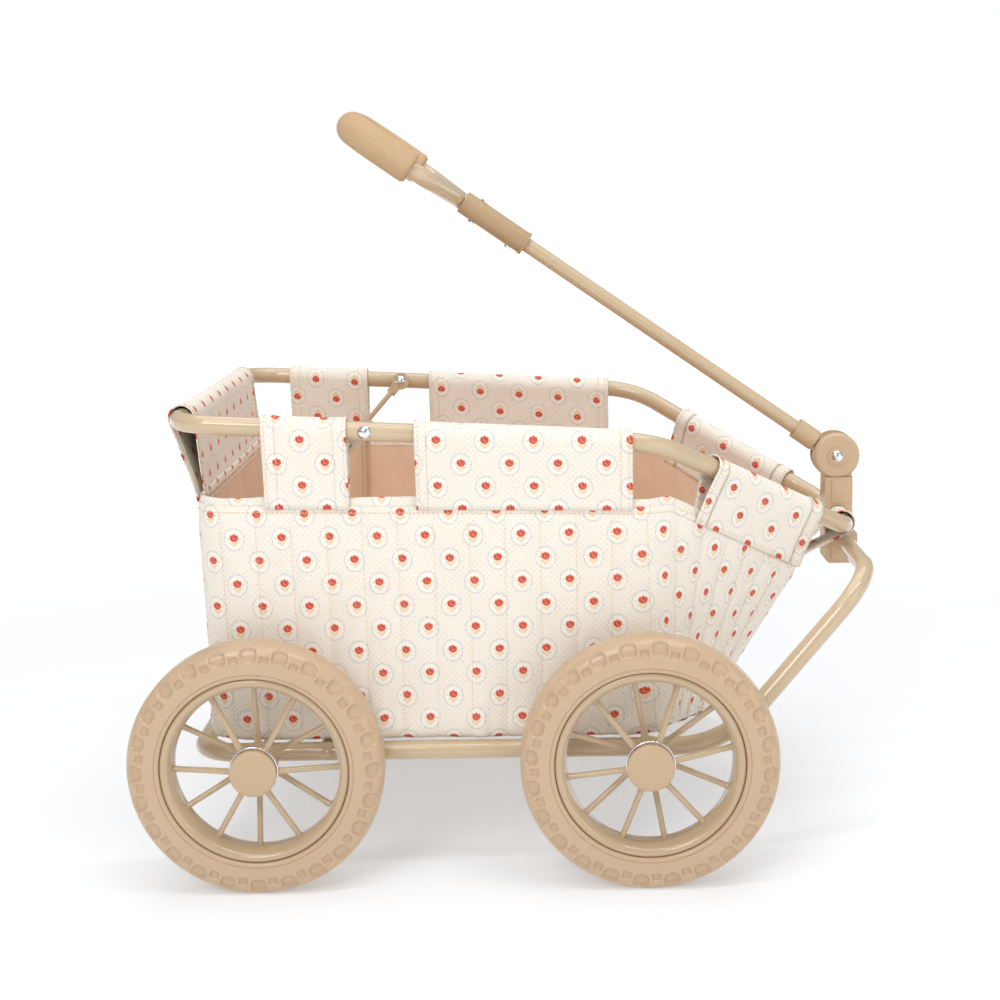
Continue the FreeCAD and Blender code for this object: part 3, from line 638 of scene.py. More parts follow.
@dataclass
class Draft:
    """Points and faces that are gathered into one piece."""

    points: list = field(default_factory=list)
    faces: list = field(default_factory=list)
    uvs: list = field(default_factory=list)

    def grid(self, points: np.ndarray, cloth: np.ndarray | None = None, ring: bool = False,
             closed: bool = False, flip: bool = False) -> None:
        """Add a sheet of four-sided faces.

        Args:
            points: Rows and columns of points.
            cloth: Places on the cloth, with one more column where the columns run round.
            ring: Whether the last column joins the first.
            closed: Whether the last row joins the first.
            flip: Whether the faces look the other way.
        """
        rows, columns = points.shape[:2]
        start = len(self.points)
        self.points.extend(points.reshape(-1, 3))
        for i in range(rows if closed else rows - 1):
            for j in range(columns if ring else columns - 1):
                square = [(i, j), (i, j + 1), (i + 1, j + 1), (i + 1, j)]
                if flip:
                    square.reverse()
                self.faces.append([start + (a % rows) * columns + b % columns for a, b in square])
                if cloth is not None:
                    self.uvs.append([cloth[a % rows, b] for a, b in square])

    def cap(self, row: np.ndarray, flip: bool = False) -> None:
        """Close a ring of points with a fan round its middle.

        Args:
            row: The ring.
            flip: Whether the faces look the other way.
        """
        start = len(self.points)
        self.points.extend(row)
        self.points.append(row.mean(axis=0))
        count = len(row)
        for j in range(count):
            fan = [start + j, start + (j + 1) % count, start + count]
            self.faces.append(list(reversed(fan)) if flip else fan)

    def tube(self, path: Sequence[Vector], radii: Sequence[float], sides: int = 16) -> None:
        """Add a round bar along an open path, with flat ends.

        Args:
            path: The middle line's points.
            radii: The radius at each point.
            sides: How many faces go round.
        """
        line = np.array([tuple(p) for p in path], float)
        size = np.asarray(radii, float)
        ahead = headings(line)
        ahead[0], ahead[-1] = line[1] - line[0], line[-1] - line[-2]
        ahead /= np.linalg.norm(ahead, axis=1)[:, None]
        side = np.cross(ahead[0], Z_AXIS if abs(ahead[0][2]) < 0.9 else Y_AXIS)
        sides_of = []
        for direction in ahead:
            side = side - direction * side.dot(direction)
            side = side / np.linalg.norm(side)
            sides_of.append(side)
        sides_of = np.array(sides_of)
        angles = np.linspace(0, 2 * math.pi, sides, endpoint=False)[None, :]
        other = np.cross(ahead, sides_of)
        ring = np.cos(angles)[..., None] * sides_of[:, None] + np.sin(angles)[..., None] * other[:, None]
        points = line[:, None] + ring * size[:, None, None]
        self.grid(points, ring=True, flip=True)
        self.cap(points[0], flip=True)
        self.cap(points[-1])

    def turned(self, profile: Sequence[tuple[float, float]], steps: int = 96, closed: bool = False) -> None:
        """Add a shape turned about Z.

        Args:
            profile: Radius and height of each point, in metres.
            steps: How many faces go round.
            closed: Whether the profile is a loop.
        """
        angles = np.linspace(0, 2 * math.pi, steps, endpoint=False)
        outline = np.array(profile)
        points = np.empty((len(outline), steps, 3))
        points[..., 0] = outline[:, :1] * np.cos(angles)
        points[..., 1] = outline[:, :1] * np.sin(angles)
        points[..., 2] = outline[:, 1:]
        self.grid(points, ring=True, closed=closed)
        if not closed:
            self.cap(points[0], flip=True)
            self.cap(points[-1])

    def piece(self, name: str, crease: float = 40.0, weld: float = 0.0) -> bpy.types.Object:
        """Make the piece.

        Args:
            name: Its name.
            crease: Edges that bend more than this many degrees are sharp.
            weld: Points nearer than this are joined, in metres.

        Returns:
            The object.
        """
        obj = new_piece(name, self.points, self.faces, self.uvs or None, crease)
        tidy = bmesh.new()
        tidy.from_mesh(obj.data)
        bmesh.ops.remove_doubles(tidy, verts=tidy.verts, dist=max(weld, 1e-7))
        bmesh.ops.recalc_face_normals(tidy, faces=tidy.faces)
        tidy.to_mesh(obj.data)
        tidy.free()
        obj.data.set_sharp_from_angle(angle=math.radians(crease))
        return obj


def rounded(points: Sequence[Vector], radii: Sequence[float], closed: bool = False) -> list[tuple]:
    """Straight runs and arcs through the corners of a path.

    Args:
        points: The path's corners.
        radii: The bend's radius at each, and 0 at open ends.
        closed: Whether the path is a loop.

    Returns:
        Runs as (start, end) and arcs as (centre, arm, axis, angle), in order.
    """
    count = len(points)
    ends = []
    arcs = []
    for i, point in enumerate(points):
        if not closed and i in (0, count - 1):
            ends.append((point, point))
            arcs.append(None)
            continue
        back = (points[i - 1] - point).normalized()
        ahead = (points[(i + 1) % count] - point).normalized()
        half = back.angle(ahead) / 2.0
        reach = radii[i] / math.tan(half)
        centre = point + (back + ahead).normalized() * (radii[i] / math.sin(half))
        first, last = point + back * reach, point + ahead * reach
        arm = first - centre
        arcs.append((centre, arm, arm.cross(last - centre).normalized(), math.pi - 2.0 * half))
        ends.append((first, last))
    pieces = []
    for i in range(count):
        if arcs[i] is not None:
            pieces.append(arcs[i])
        if i < count - 1 or closed:
            pieces.append((ends[i][1], ends[(i + 1) % count][0]))
    return pieces


def along(piece: tuple, share: float) -> Vector:
    """Point at a share of the way along a run or an arc."""
    if len(piece) == 2:
        return piece[0].lerp(piece[1], share)
    centre, arm, axis, angle = piece
    return centre + Matrix.Rotation(angle * share, 3, axis) @ arm


def length_of(piece: tuple) -> float:
    """Length of a run or an arc."""
    return (piece[1] - piece[0]).length if len(piece) == 2 else piece[1].length * piece[3]


def sampled(pieces: Sequence[tuple], step: float, closed: bool = False) -> list[Vector]:
    """Points along a path, close together in its arcs.

    Args:
        pieces: The path's runs and arcs.
        step: Largest spacing, in metres.
        closed: Whether the path is a loop.

    Returns:
        The points.
    """
    points = []
    for piece in pieces:
        count = max(1, math.ceil(length_of(piece) / step))
        points += [along(piece, i / count) for i in range(count)]
    if not closed:
        points.append(along(pieces[-1], 1.0))
    return points


def run_of(points: np.ndarray) -> np.ndarray:
    """Distance along a line of points to each of them, from the first."""
    return np.concatenate([[0.0], np.cumsum(np.linalg.norm(np.diff(points, axis=0), axis=1))])


def headings(ring: np.ndarray, axis: int = 0) -> np.ndarray:
    """Step from the point before to the point after, all the way round a ring."""
    return np.roll(ring, -1, axis=axis) - np.roll(ring, 1, axis=axis)


def mirrored(point: Vector) -> Vector:
    """The same point on the other side of the wagon."""
    return Vector((point.x, -point.y, point.z))


def ripple(point: Sequence[float], scale: float, seed: float = 0.0) -> float:
    """Smooth repeatable noise from -1 to 1 at a point.

    Args:
        point: Where it is read.
        scale: How many waves fit in a metre.
        seed: Shift that makes one pattern differ from another.

    Returns:
        The noise.
    """
    x, y, z = (part * scale for part in point)
    return noise.noise(Vector((x + seed, y - seed, z + 2.0 * seed)))


def thread_row(draft: Draft, points: np.ndarray, outward: np.ndarray, stitch: float = 0.0028,
               gap: float = 0.0010, thick: float = 0.00034) -> None:
    """Sew a row of stitches along a line on the cloth.

    Args:
        draft: The thread's piece.
        points: The line's points, in metres.
        outward: The cloth's outward direction at each.
        stitch: Length of a stitch.
        gap: Space between stitches.
        thick: The thread's radius.
    """
    place = run_of(points)
    shares = np.linspace(0.0, 1.0, 4)
    sizes = [0.35 * thick, thick, thick, 0.35 * thick]
    lifts = [-0.2 * thick, 0.7 * thick, 0.7 * thick, -0.2 * thick]
    start = gap / 2
    while start + stitch < place[-1]:
        at = start + shares * stitch
        line = np.stack([np.interp(at, place, points[:, k]) for k in range(3)], axis=1)
        lift = np.stack([np.interp(at, place, outward[:, k]) for k in range(3)], axis=1)
        path = line + lift * np.array(lifts)[:, None]
        draft.tube([Vector(p) for p in path], sizes, 5)
        start += stitch + gap


# --- running gear -------------------------------------------------------------------------------


@dataclass
class Wheels:
    """Four wheels: foam tyre with scooped shoulders, spoked rim, domed cap and wire ring."""

    axles: tuple = (("rear", -0.200, 0.0), ("front", 0.105, math.radians(10.0)))
    track: float = 0.222
    axle_height: float = 0.100
    radius: float = 0.100
    half: float = 0.017
    shoulder: float = 0.010
    lobes: int = 24
    lobe_steps: int = 32
    spokes: int = 12

    def tyre_profile(self) -> tuple[np.ndarray, np.ndarray, np.ndarray]:
        """Half section of the tyre, from its seat over the sidewall to the middle of the tread.

        Returns:
            Points as radius and height, their outward directions, and how far each is from the sidewall's
            84 mm circle, where the shoulder's pattern starts.
        """
        low = self.half
        points = [(0.0736, low - 0.0020), (0.0739, low - 0.0010), (0.0746, low - 0.0003), (0.0758, low),
                  (0.0766, low), (0.0769, low - 0.0005), (0.0773, low - 0.0005), (0.0776, low),
                  (0.0790, low + 0.0001), (0.0815, low + 0.0002)]
        points += [(r, low + 0.0002) for r in np.arange(0.0840, 0.0900, 0.0008)]
        corner = (self.radius - self.shoulder, low - self.shoulder)
        for angle in np.linspace(0.0, math.pi / 2.0, 22):
            points.append((corner[0] + self.shoulder * math.sin(angle),
                           corner[1] + self.shoulder * math.cos(angle)))
        tread = low - self.shoulder
        groove = self.radius - 0.0007
        points += [(self.radius, tread - 0.0010), (self.radius, tread - 0.0024), (groove, tread - 0.0028),
                   (groove, tread - 0.0034), (self.radius, tread - 0.0038), (self.radius, 0.0)]
        line = np.array(points)
        ahead = np.gradient(line, axis=0)
        out = np.stack([ahead[:, 1] * -1.0, ahead[:, 0]], axis=1)
        out /= np.linalg.norm(out, axis=1)[:, None]
        steps = run_of(line)
        start = np.interp(0.0840, line[:12, 0], steps[:12])
        return line, out, steps - start

    def scoop(self, outward: np.ndarray, around: np.ndarray) -> np.ndarray:
        """Depth of the shoulder's scoops.

        Args:
            outward: Distance along the section from the 84 mm circle.
            around: Angle round the wheel.

        Returns:
            How far the skin is pressed in, in metres.
        """
        pitch = 2.0 * math.pi / self.lobes
        big_way = (around / pitch - np.round(around / pitch)) * pitch * 0.093
        small_way = (around / pitch - 0.5 - np.round(around / pitch - 0.5)) * pitch * 0.090

        def pressed(way: np.ndarray, low: float, high: float, half: float, bend: float) -> np.ndarray:
            """One rounded-rectangle scoop between two distances, with the outer corners bent."""
            middle, span = (low + high) / 2.0, (high - low) / 2.0
            round_x = np.maximum(np.abs(way) - (half - bend), 0.0)
            round_y = np.maximum(np.abs(outward - middle) - (span - bend), 0.0)
            beyond = np.hypot(round_x, round_y) - bend
            return 1.0 / (1.0 + np.exp(np.clip(beyond / 0.00017, -30.0, 30.0)))

        def lip(depth: np.ndarray) -> np.ndarray:
            """A thin raised edge where the scoop's side falls."""
            return 4.0 * depth * (1.0 - depth)

        big = pressed(big_way, 0.0030, 0.0152, 0.0060, 0.0048)
        small = pressed(small_way, 0.0022, 0.0080, 0.0034, 0.0010)
        return 0.0025 * big + 0.0017 * small - 0.00045 * (lip(big) + lip(small))

    def tyre(self) -> bpy.types.Mesh:
        """Mesh of the tyre about Z, outer face up."""
        line, out, distance = self.tyre_profile()
        steps = self.lobes * self.lobe_steps
        around = np.linspace(0.0, 2.0 * math.pi, steps, endpoint=False)
        depth = self.scoop(distance[:, None], around[None, :])
        shape = line[:, None, :] - out[:, None, :] * depth[..., None]
        half = np.empty((len(line), steps, 3))
        half[..., 0] = shape[..., 0] * np.cos(around)
        half[..., 1] = shape[..., 0] * np.sin(around)
        half[..., 2] = shape[..., 1]
        other = half[-2::-1] * np.array([1.0, 1.0, -1.0])
        draft = Draft()
        draft.grid(np.concatenate([half, other]), ring=True, closed=True)
        return draft.piece("tyre_pattern", 50.0).data

    def rim(self) -> bpy.types.Mesh:
        """Mesh of the rim: rolled lip, deep barrel, spokes laced to two flanges, and the hub."""
        lip = [(73.4, 12.4), (73.2, 14.0), (72.7, 14.9), (71.9, 15.5), (70.8, 15.8), (69.6, 15.7),
               (68.5, 15.2), (67.4, 14.3), (66.4, 13.0), (65.6, 11.3), (65.0, 9.2), (64.5, 6.4),
               (64.1, 3.2), (64.0, 0.0)]
        section = lip + [(r, -z) for r, z in reversed(lip[:-1])]
        draft = Draft()
        draft.turned([(r * MM, z * MM) for r, z in section], 144, closed=True)
        hub = [(10.6, -26.0), (11.0, -25.6), (11.0, -15.4), (13.0, -14.7), (15.2, -14.5), (15.5, -14.2),
               (15.5, -9.8), (15.2, -9.5), (13.0, -9.3), (11.0, -8.6), (11.0, 10.6), (13.0, 11.3),
               (15.2, 11.5), (15.5, 11.8), (15.5, 16.2), (15.2, 16.5), (11.0, 17.0), (11.0, 18.0)]
        draft.turned([(r * MM, z * MM) for r, z in hub], 64)
        for index in range(self.spokes):
            outer = index % 2 == 0
            angle = 2.0 * math.pi * index / self.spokes
            way = Vector((math.cos(angle), math.sin(angle), 0.0))
            foot = way * 0.0120 + Z_AXIS * (0.0140 if outer else -0.0120)
            head = way * 0.0664 + Z_AXIS * (0.0030 if outer else -0.0010)
            shares = [0.0, 0.05, 0.10, 0.16, 0.24, 0.85, 0.92, 0.96, 1.0]
            sizes = [3.4, 3.3, 2.9, 2.55, 2.4, 2.3, 2.4, 2.7, 3.2]
            draft.tube([foot.lerp(head, s) for s in shares], [s * MM for s in sizes], 18)
        return draft.piece("rim_pattern", 35.0).data

    def cap(self) -> bpy.types.Mesh:
        """Mesh of the hub cap: a low dome with a rolled edge."""
        dome = [(17.4, 18.1), (18.1, 18.3), (18.4, 18.9), (18.4, 20.4), (18.1, 21.1), (17.4, 21.6),
                (15.6, 22.2), (12.8, 22.8), (9.0, 23.2), (4.5, 23.4), (0.6, 23.45)]
        draft = Draft()
        draft.turned([(r * MM, z * MM) for r, z in dome], 72)
        return draft.piece("cap_pattern", 60.0).data

    def ring(self) -> bpy.types.Mesh:
        """Mesh of the wire spring ring under the cap, which hangs a little to one side."""
        turns = np.linspace(0.0, 2.0 * math.pi, 12, endpoint=False)
        draft = Draft()
        middle, height, wire = 0.0185, 0.0172, 0.0008
        section = [(middle + wire * math.cos(t), height - wire * math.sin(t)) for t in turns]
        draft.turned(section, 72, closed=True)
        mesh = draft.piece("ring_pattern", 80.0).data
        mesh.transform(Matrix.Translation((0.0003, 0.0015, 0.0)))
        return mesh

    def build(self) -> None:
        """Make the four wheels and set each on its body."""
        parts = [("tyre", self.tyre(), Finish.TYRE), ("rim", self.rim(), Finish.RIM),
                 ("hub_cap", self.cap(), Finish.CAP), ("hub_ring", self.ring(), Finish.CHROME)]
        for pattern in [o for o in bpy.data.objects if o.name.endswith("_pattern")]:
            bpy.data.objects.remove(pattern)
        for end, x, roll in self.axles:
            for side, hand in ((-1.0, "right"), (1.0, "left")):
                corner = end + "_" + hand
                face = Z_AXIS.rotation_difference(Vector((0.0, side, 0.0))).to_matrix().to_4x4()
                place = Matrix.Translation((x, side * self.track, self.axle_height)) @ face
                for part, mesh, finish in parts:
                    if roll:
                        mesh = mesh.copy()
                        mesh.transform(Matrix.Rotation(-side * roll, 4, "Z"))
                    obj = bpy.data.objects.new(part + "_skin_" + corner, mesh)
                    bpy.context.scene.collection.objects.link(obj)
                    obj.matrix_world = place
                    set_up(obj, finish, "wheel_" + corner, part + "_" + corner)


@dataclass
class Chassis:
    """Tube loops, axles, braces and the small fixings of the running gear."""

    painted: tuple = ("top_rail", "base_loop", "brace_left", "brace_right", "foot_rivets")
    plated: tuple = ("rail_rivets",)
    zinc: tuple = ("rear_axle", "front_axle", "axle_washers", "axle_clips")

    def build(self) -> None:
        """Dress the chassis nodes."""
        dress_nodes({Finish.TUBE: self.painted, Finish.CHROME: self.plated, Finish.ZINC: self.zinc})


# --- handle -------------------------------------------------------------------------------------


@dataclass
class PullHandle:
    """Bracket, swivel head and the pull handle with its foam loop."""

    pivot: Vector = field(default_factory=lambda: Vector((0.280, 0.0, 0.303)))
    rise: float = math.radians(35.2)
    grip_start: float = 0.437
    grip_far: float = 0.498
    grip_half: float = 0.060
    grip_radius: float = 0.0135
    grip_bend: float = 0.034
    bracket_half: float = 0.015
    panel_ends: tuple = (0.2752, 0.2926)
    panel_heights: tuple = ((0.2625, 0.2835), (0.2130, 0.2385))

    def on_axis(self, distance: float, side: float = 0.0) -> Vector:
        """Point at a distance from the pivot along the handle, and to the side of it."""
        way = Vector((-math.cos(self.rise), 0.0, math.sin(self.rise)))
        return self.pivot + way * distance + Y_AXIS * side

    def grip(self) -> None:
        """Foam sleeve over the loop, with softly rounded ends."""
        half = self.grip_half
        corners = [self.on_axis(self.grip_start, -half), self.on_axis(self.grip_far, -half),
                   self.on_axis(self.grip_far, half), self.on_axis(self.grip_start, half)]
        path = sampled(rounded(corners, [0.0, self.grip_bend, self.grip_bend, 0.0]), 0.0025)
        steps = [(b - a).length for a, b in zip(path, path[1:])]
        place = np.concatenate([[0.0], np.cumsum(steps)])
        total = place[-1]
        soft = 0.0018
        sizes = []
        for point, here in zip(path, place):
            edge = min(here, total - here)
            share = min(edge / soft, 1.0)
            round_off = math.sqrt(max(0.0, 1.0 - (1.0 - share) ** 2))
            swell = 0.00012 * ripple(point, 60.0)
            sizes.append(self.grip_radius - soft * (1.0 - round_off) * 0.9 + swell)
        draft = Draft()
        draft.tube(path, sizes, 40)
        obj = set_up(draft.piece("foam_grip_skin", SOFT), Finish.GRIP, "handle", "foam_grip")

    def build(self) -> None:
        """Dress the hard parts and make the grip."""
        dress_nodes({
            Finish.JOINT: ("bracket_rear", "bracket_front", "swivel_head", "handle_socket", "socket_rivet"),
            Finish.COLLAR: ("collar",),
            Finish.TUBE: ("lower_tube", "handle_loop"),
            Finish.CHROME: ("bracket_screws", "pivot_bolt", "collar_rivet", "snap_button"),
            Finish.ZINC: ("swivel_pin",),
            Finish.SPRING: ("button_spring",),
        })
        self.grip()
        self.panels()

    def panels(self) -> None:
        """Raised cover plates on both sides of the bracket, above and below the rail's tube."""
        for side, hand in ((-1.0, "right"), (1.0, "left")):
            draft = Draft()
            low, high = self.panel_ends
            for foot, head in self.panel_heights:
                places = ((low, foot), (high, foot), (high, head), (low, head))
                corners = [Vector((x, 0.0, z)) for x, z in places]
                outline = sampled(rounded(corners, [0.0018] * 4, True), 0.0012, True)
                ring = np.array([tuple(p) for p in outline])
                middle = ring.mean(axis=0)
                rows = []
                for shrink, out in ((0.0, -0.0003), (0.0, 0.0004), (0.0003, 0.0007), (0.0009, 0.0008)):
                    way = ring - middle
                    row = ring - way / np.linalg.norm(way, axis=1)[:, None] * shrink
                    row[:, 1] = side * (self.bracket_half + out)
                    rows.append(row)
                draft.grid(np.array(rows), ring=True)
                draft.cap(rows[-1])
            set_up(draft.piece("bracket_panel_" + hand, 30.0), Finish.JOINT, "chassis")


# --- basket -------------------------------------------------------------------------------------


@dataclass
class Basket:
    """Quilted basket with a plain lining, hung from the rail by six tabs and two flaps."""

    floor: float = 0.1076
    mark: float = 0.300
    low: tuple = ((-0.242, 0.186), (0.110, 0.186), (0.160, 0.110))
    high: tuple = ((-0.247, 0.187), (0.105, 0.187), (0.288, 0.082))
    bends: tuple = (0.028, 0.040, 0.024)
    seam: float = 0.299
    seam_drop: float = 0.008
    seam_rear: float = -0.247
    seam_turn: float = 0.126
    seam_slope: float = 0.592
    wall: float = 0.0032
    channel: float = 0.0275
    per_channel: int = 10
    rows: int = 44
    foot_bend: float = 0.010
    wall_height: float = 0.19
    pleat_reach: float = 0.075
    pleat_depth: float = 0.0042
    crease_depth: float = 0.0011
    wrinkle_depth: float = 0.00045
    flat_height: float = 0.36
    tube: float = 0.0075
    rail_half: float = 0.185
    rail_rear: Vector = field(default_factory=lambda: Vector((-0.259, 0.185, 0.3645)))
    rail_fall: float = 0.0592
    rail_knee_x: float = 0.114
    rail_nose: Vector = field(default_factory=lambda: Vector((0.281, 0.0615, 0.2505)))
    thread: Draft = field(default_factory=Draft)

    def seam_height(self, x: float) -> float:
        """Height of the top seam at a station along the wagon."""
        if x < self.seam_turn:
            return self.seam - self.seam_drop * (x - self.seam_rear) / (self.seam_turn - self.seam_rear)
        return self.seam - self.seam_drop - (x - self.seam_turn) * self.seam_slope

    def outline(self, share: float, inset: float) -> list[tuple]:
        """Runs and arcs of the basket's plan on the right side, from the rear's middle to the front's.

        Args:
            share: 0 at the floor and 1 at the mark's height.
            inset: How far the outline is drawn in.

        Returns:
            The runs and arcs, at height 0.
        """
        corners = []
        for (x0, y0), (x1, y1), grow in zip(self.low, self.high, ((1.0, 1.0), (-0.3, 1.0), (-1.0, 0.6))):
            x = x0 + (x1 - x0) * share + grow[0] * inset
            y = y0 + (y1 - y0) * share - grow[1] * inset
            corners.append(Vector((x, -y, 0.0)))
        path = [Vector((corners[0].x, 0.0, 0.0))] + corners + [Vector((corners[2].x, 0.0, 0.0))]
        return rounded(path, [0.0] + [bend - 0.5 * inset for bend in self.bends] + [0.0])

    def columns(self) -> list[tuple[int, float]]:
        """Stations round the right half, spaced evenly at the top, as piece and share of it."""
        pieces = self.outline(0.9, 0.0)
        lengths = [length_of(p) for p in pieces]
        total = sum(lengths)
        count = self.per_channel * round(total / self.channel)
        stations = []
        for i in range(count + 1):
            at = total * i / count
            for k, span in enumerate(lengths):
                if at <= span or k == len(lengths) - 1:
                    stations.append((k, min(at / span, 1.0)))
                    break
                at -= span
        return stations

    def skin(self, inset: float, puff: float, lift: float) -> tuple[np.ndarray, np.ndarray, np.ndarray]:
        """Wall of the basket on both sides, from its foot to its top edge.

        Args:
            inset: How far the wall is drawn in.
            puff: How far the quilting swells out between its stitches.
            lift: How far its top edge is above the seam.

        Returns:
            Rows and columns of points, their places on the cloth, and their outward directions.
        """
        stations = self.columns()
        shares = np.linspace(0.0, 1.02, 18)
        table = np.empty((len(shares), len(stations), 3))
        for i, share in enumerate(shares):
            outline = self.outline(share, inset)
            for j, (piece, part) in enumerate(stations):
                point = along(outline[piece], part)
                table[i, j] = (point.x, point.y, self.floor + (self.mark - self.floor) * share)
        count = len(stations)
        fine = np.linspace(0.0, 1.02, 400)
        rows = self.rows
        half = np.empty((rows + 1, count, 3))
        for j in range(count):
            column = np.stack([np.interp(fine, shares, table[:, j, k]) for k in range(3)], axis=1)
            over = np.array([p[2] - self.seam_height(p[0]) - lift for p in column])
            top = np.interp(0.0, over, fine)
            at = np.linspace(0.0, top, rows + 1)
            half[:, j] = np.stack([np.interp(at, fine, column[:, k]) for k in range(3)], axis=1)
        whole = np.concatenate([half, half[:, -2:0:-1] * np.array([1.0, -1.0, 1.0])], axis=1)
        ahead = headings(whole, 1)
        up = np.gradient(whole, axis=0)
        out = np.cross(ahead, up)
        out /= np.linalg.norm(out, axis=2)[..., None]
        columns = whole.shape[1]
        spacing = sum(length_of(p) for p in self.outline(0.9, 0.0)) / (count - 1)
        across = np.arange(columns + 1) * spacing
        phase = (np.arange(columns) % self.per_channel) / self.per_channel
        swell = np.sqrt(np.maximum(0.0, 1.0 - (2.0 * phase - 1.0) ** 2))
        tuck = 1.0 - phase
        for i in range(rows + 1):
            share = i / rows
            height = share * self.wall_height
            ends = min(1.0, (1.0 - share) * 9.0 + 0.15)
            foot = max(0.0, 1.0 - height / self.pleat_reach) ** 1.5
            for j in range(columns):
                point = whole[i, j]
                seam = (j + self.per_channel // 2) // self.per_channel
                pleat = max(0.0, math.sin(seam * 2.4) + 0.1) * foot
                creases = self.crease_depth * ripple((point[0], point[1], point[2] * 0.45), 34.0, 3.0)
                small = self.wrinkle_depth * ripple((point[0], point[1], point[2] * 0.6), 120.0, 7.0)
                raised = puff * swell[j] * ends + (creases + small) * (0.3 + 0.7 * ends)
                raised += pleat * self.pleat_depth * tuck[j] * (1.0 if puff > 0.0 else -0.2)
                whole[i, j] = point + out[i, j] * raised
        cloth = np.empty((rows + 1, columns + 1, 2))
        cloth[..., 0] = across
        rise = np.linalg.norm(np.diff(whole[:, :], axis=0), axis=2)
        flat_rise = np.concatenate([np.zeros((1, columns)), np.cumsum(rise, axis=0)])
        smooth_rise = (flat_rise + np.roll(flat_rise, 1, axis=1) + np.roll(flat_rise, -1, axis=1)) / 3.0
        cloth[:, :-1, 1] = smooth_rise
        cloth[:, -1, 1] = smooth_rise[:, 0]
        return whole, cloth, out

    def foot(self, wall: np.ndarray, cloth: np.ndarray, floor: float,
             inset: float) -> tuple[np.ndarray, np.ndarray]:
        """Rows that carry a wall round its lower edge and across the floor.

        Args:
            wall: The wall's points, foot first.
            cloth: Their places on the cloth.
            floor: Height of the floor.
            inset: How far the wall was drawn in.

        Returns:
            All rows, from the middle of the floor to the wall's top, and their places on the cloth.
        """
        bottom = wall[0]
        ahead = headings(bottom)
        inward = np.stack([-ahead[:, 1], ahead[:, 0], np.zeros(len(bottom))], axis=1)
        inward /= np.linalg.norm(inward, axis=1)[:, None]
        bend = self.foot_bend - inset
        start = int(np.argmax(wall[:, 0, 2] > floor + bend))
        base = wall[start]
        rows = []
        for angle in np.linspace(0.0, math.pi / 2.0, 7)[1:]:
            row = base + inward * bend * (1.0 - math.cos(angle))
            row[:, 2] = base[:, 2] - (base[:, 2] - floor) * math.sin(angle)
            rows.append(row)
        edge = rows[-1]
        spine = edge.copy()
        spine[:, 0] = np.clip(edge[:, 0], -0.12, 0.05)
        spine[:, 1] = 0.0
        for share in (0.08, 0.2, 0.4, 0.6, 0.8, 1.0):
            rows.append(edge + (spine - edge) * share)
        rows = np.array(rows[::-1] + list(wall[start:]))
        steps = np.linalg.norm(np.diff(rows, axis=0), axis=2).cumsum(axis=0)
        rise = np.concatenate([np.zeros((1, steps.shape[1])), steps])
        added = len(rows) - len(wall[start:])
        rise -= rise[added] - cloth[start, :-1, 1]
        placed = np.empty((len(rows), rows.shape[1] + 1, 2))
        placed[..., 0] = cloth[0, :, 0]
        placed[:, :-1, 1] = rise
        placed[:, -1, 1] = rise[:, 0]
        placed[added:] = cloth[start:]
        return rows, placed

    def rolled(self, rows: np.ndarray, cloth: np.ndarray, out: np.ndarray, turn: float) -> tuple:
        """Roll the top edge of a wall inwards or outwards over a small bend.

        Args:
            rows: The wall's rows, the top one last.
            cloth: Their places on the cloth.
            out: The top row's outward directions.
            turn: Radius of the roll, negative to roll outwards.

        Returns:
            The rows and their places with the roll added.
        """
        top = rows[-1]
        added = []
        for angle in np.linspace(0.0, math.pi, 7)[1:]:
            row = top - out * turn * (1.0 - math.cos(angle))
            row[:, 2] += abs(turn) * math.sin(angle)
            added.append(row)
        tail = added[-1].copy()
        tail[:, 2] -= 0.004
        added.append(tail)
        placed = [cloth[-1] + np.array([0.0, abs(turn) * 0.5 * (k + 1)]) for k in range(len(added))]
        return np.concatenate([rows, added]), np.concatenate([cloth, placed])

    def walls(self) -> None:
        """Outer quilted wall, lining, and the stitches of the quilting and the top seam."""
        shell, shell_cloth, shell_out = self.skin(0.0006, 0.0016, 0.0)
        rows, cloth = self.foot(shell, shell_cloth, self.floor, 0.0)
        rows, cloth = self.rolled(rows, cloth, shell_out[-1], 0.0009)
        draft = Draft()
        draft.grid(rows, cloth, ring=True)
        outer = set_up(draft.piece("basket_quilted_wall", SOFT), Finish.PRINT, "chassis", "basket_shell")

        inner, inner_cloth, inner_out = self.skin(self.wall + 0.0006, -0.0009, -0.0005)
        rows, cloth = self.foot(inner, inner_cloth, self.floor + self.wall + 0.001, self.wall)
        rows, cloth = self.rolled(rows, cloth, inner_out[-1], -0.0008)
        draft = Draft()
        draft.grid(rows, cloth, ring=True, flip=True)
        lining = set_up(draft.piece("basket_lining_cloth", SOFT), Finish.LINING, "chassis", "basket_lining")

        for j in range(0, shell.shape[1], self.per_channel):
            thread_row(self.thread, shell[2:-1:2, j], shell_out[2:-1:2, j])
        ring = np.concatenate([shell[-2], shell[-2][:1]])
        ring_out = np.concatenate([shell_out[-2], shell_out[-2][:1]])
        thread_row(self.thread, ring, ring_out, thick=0.00042)
        self.facing(shell, shell_out)

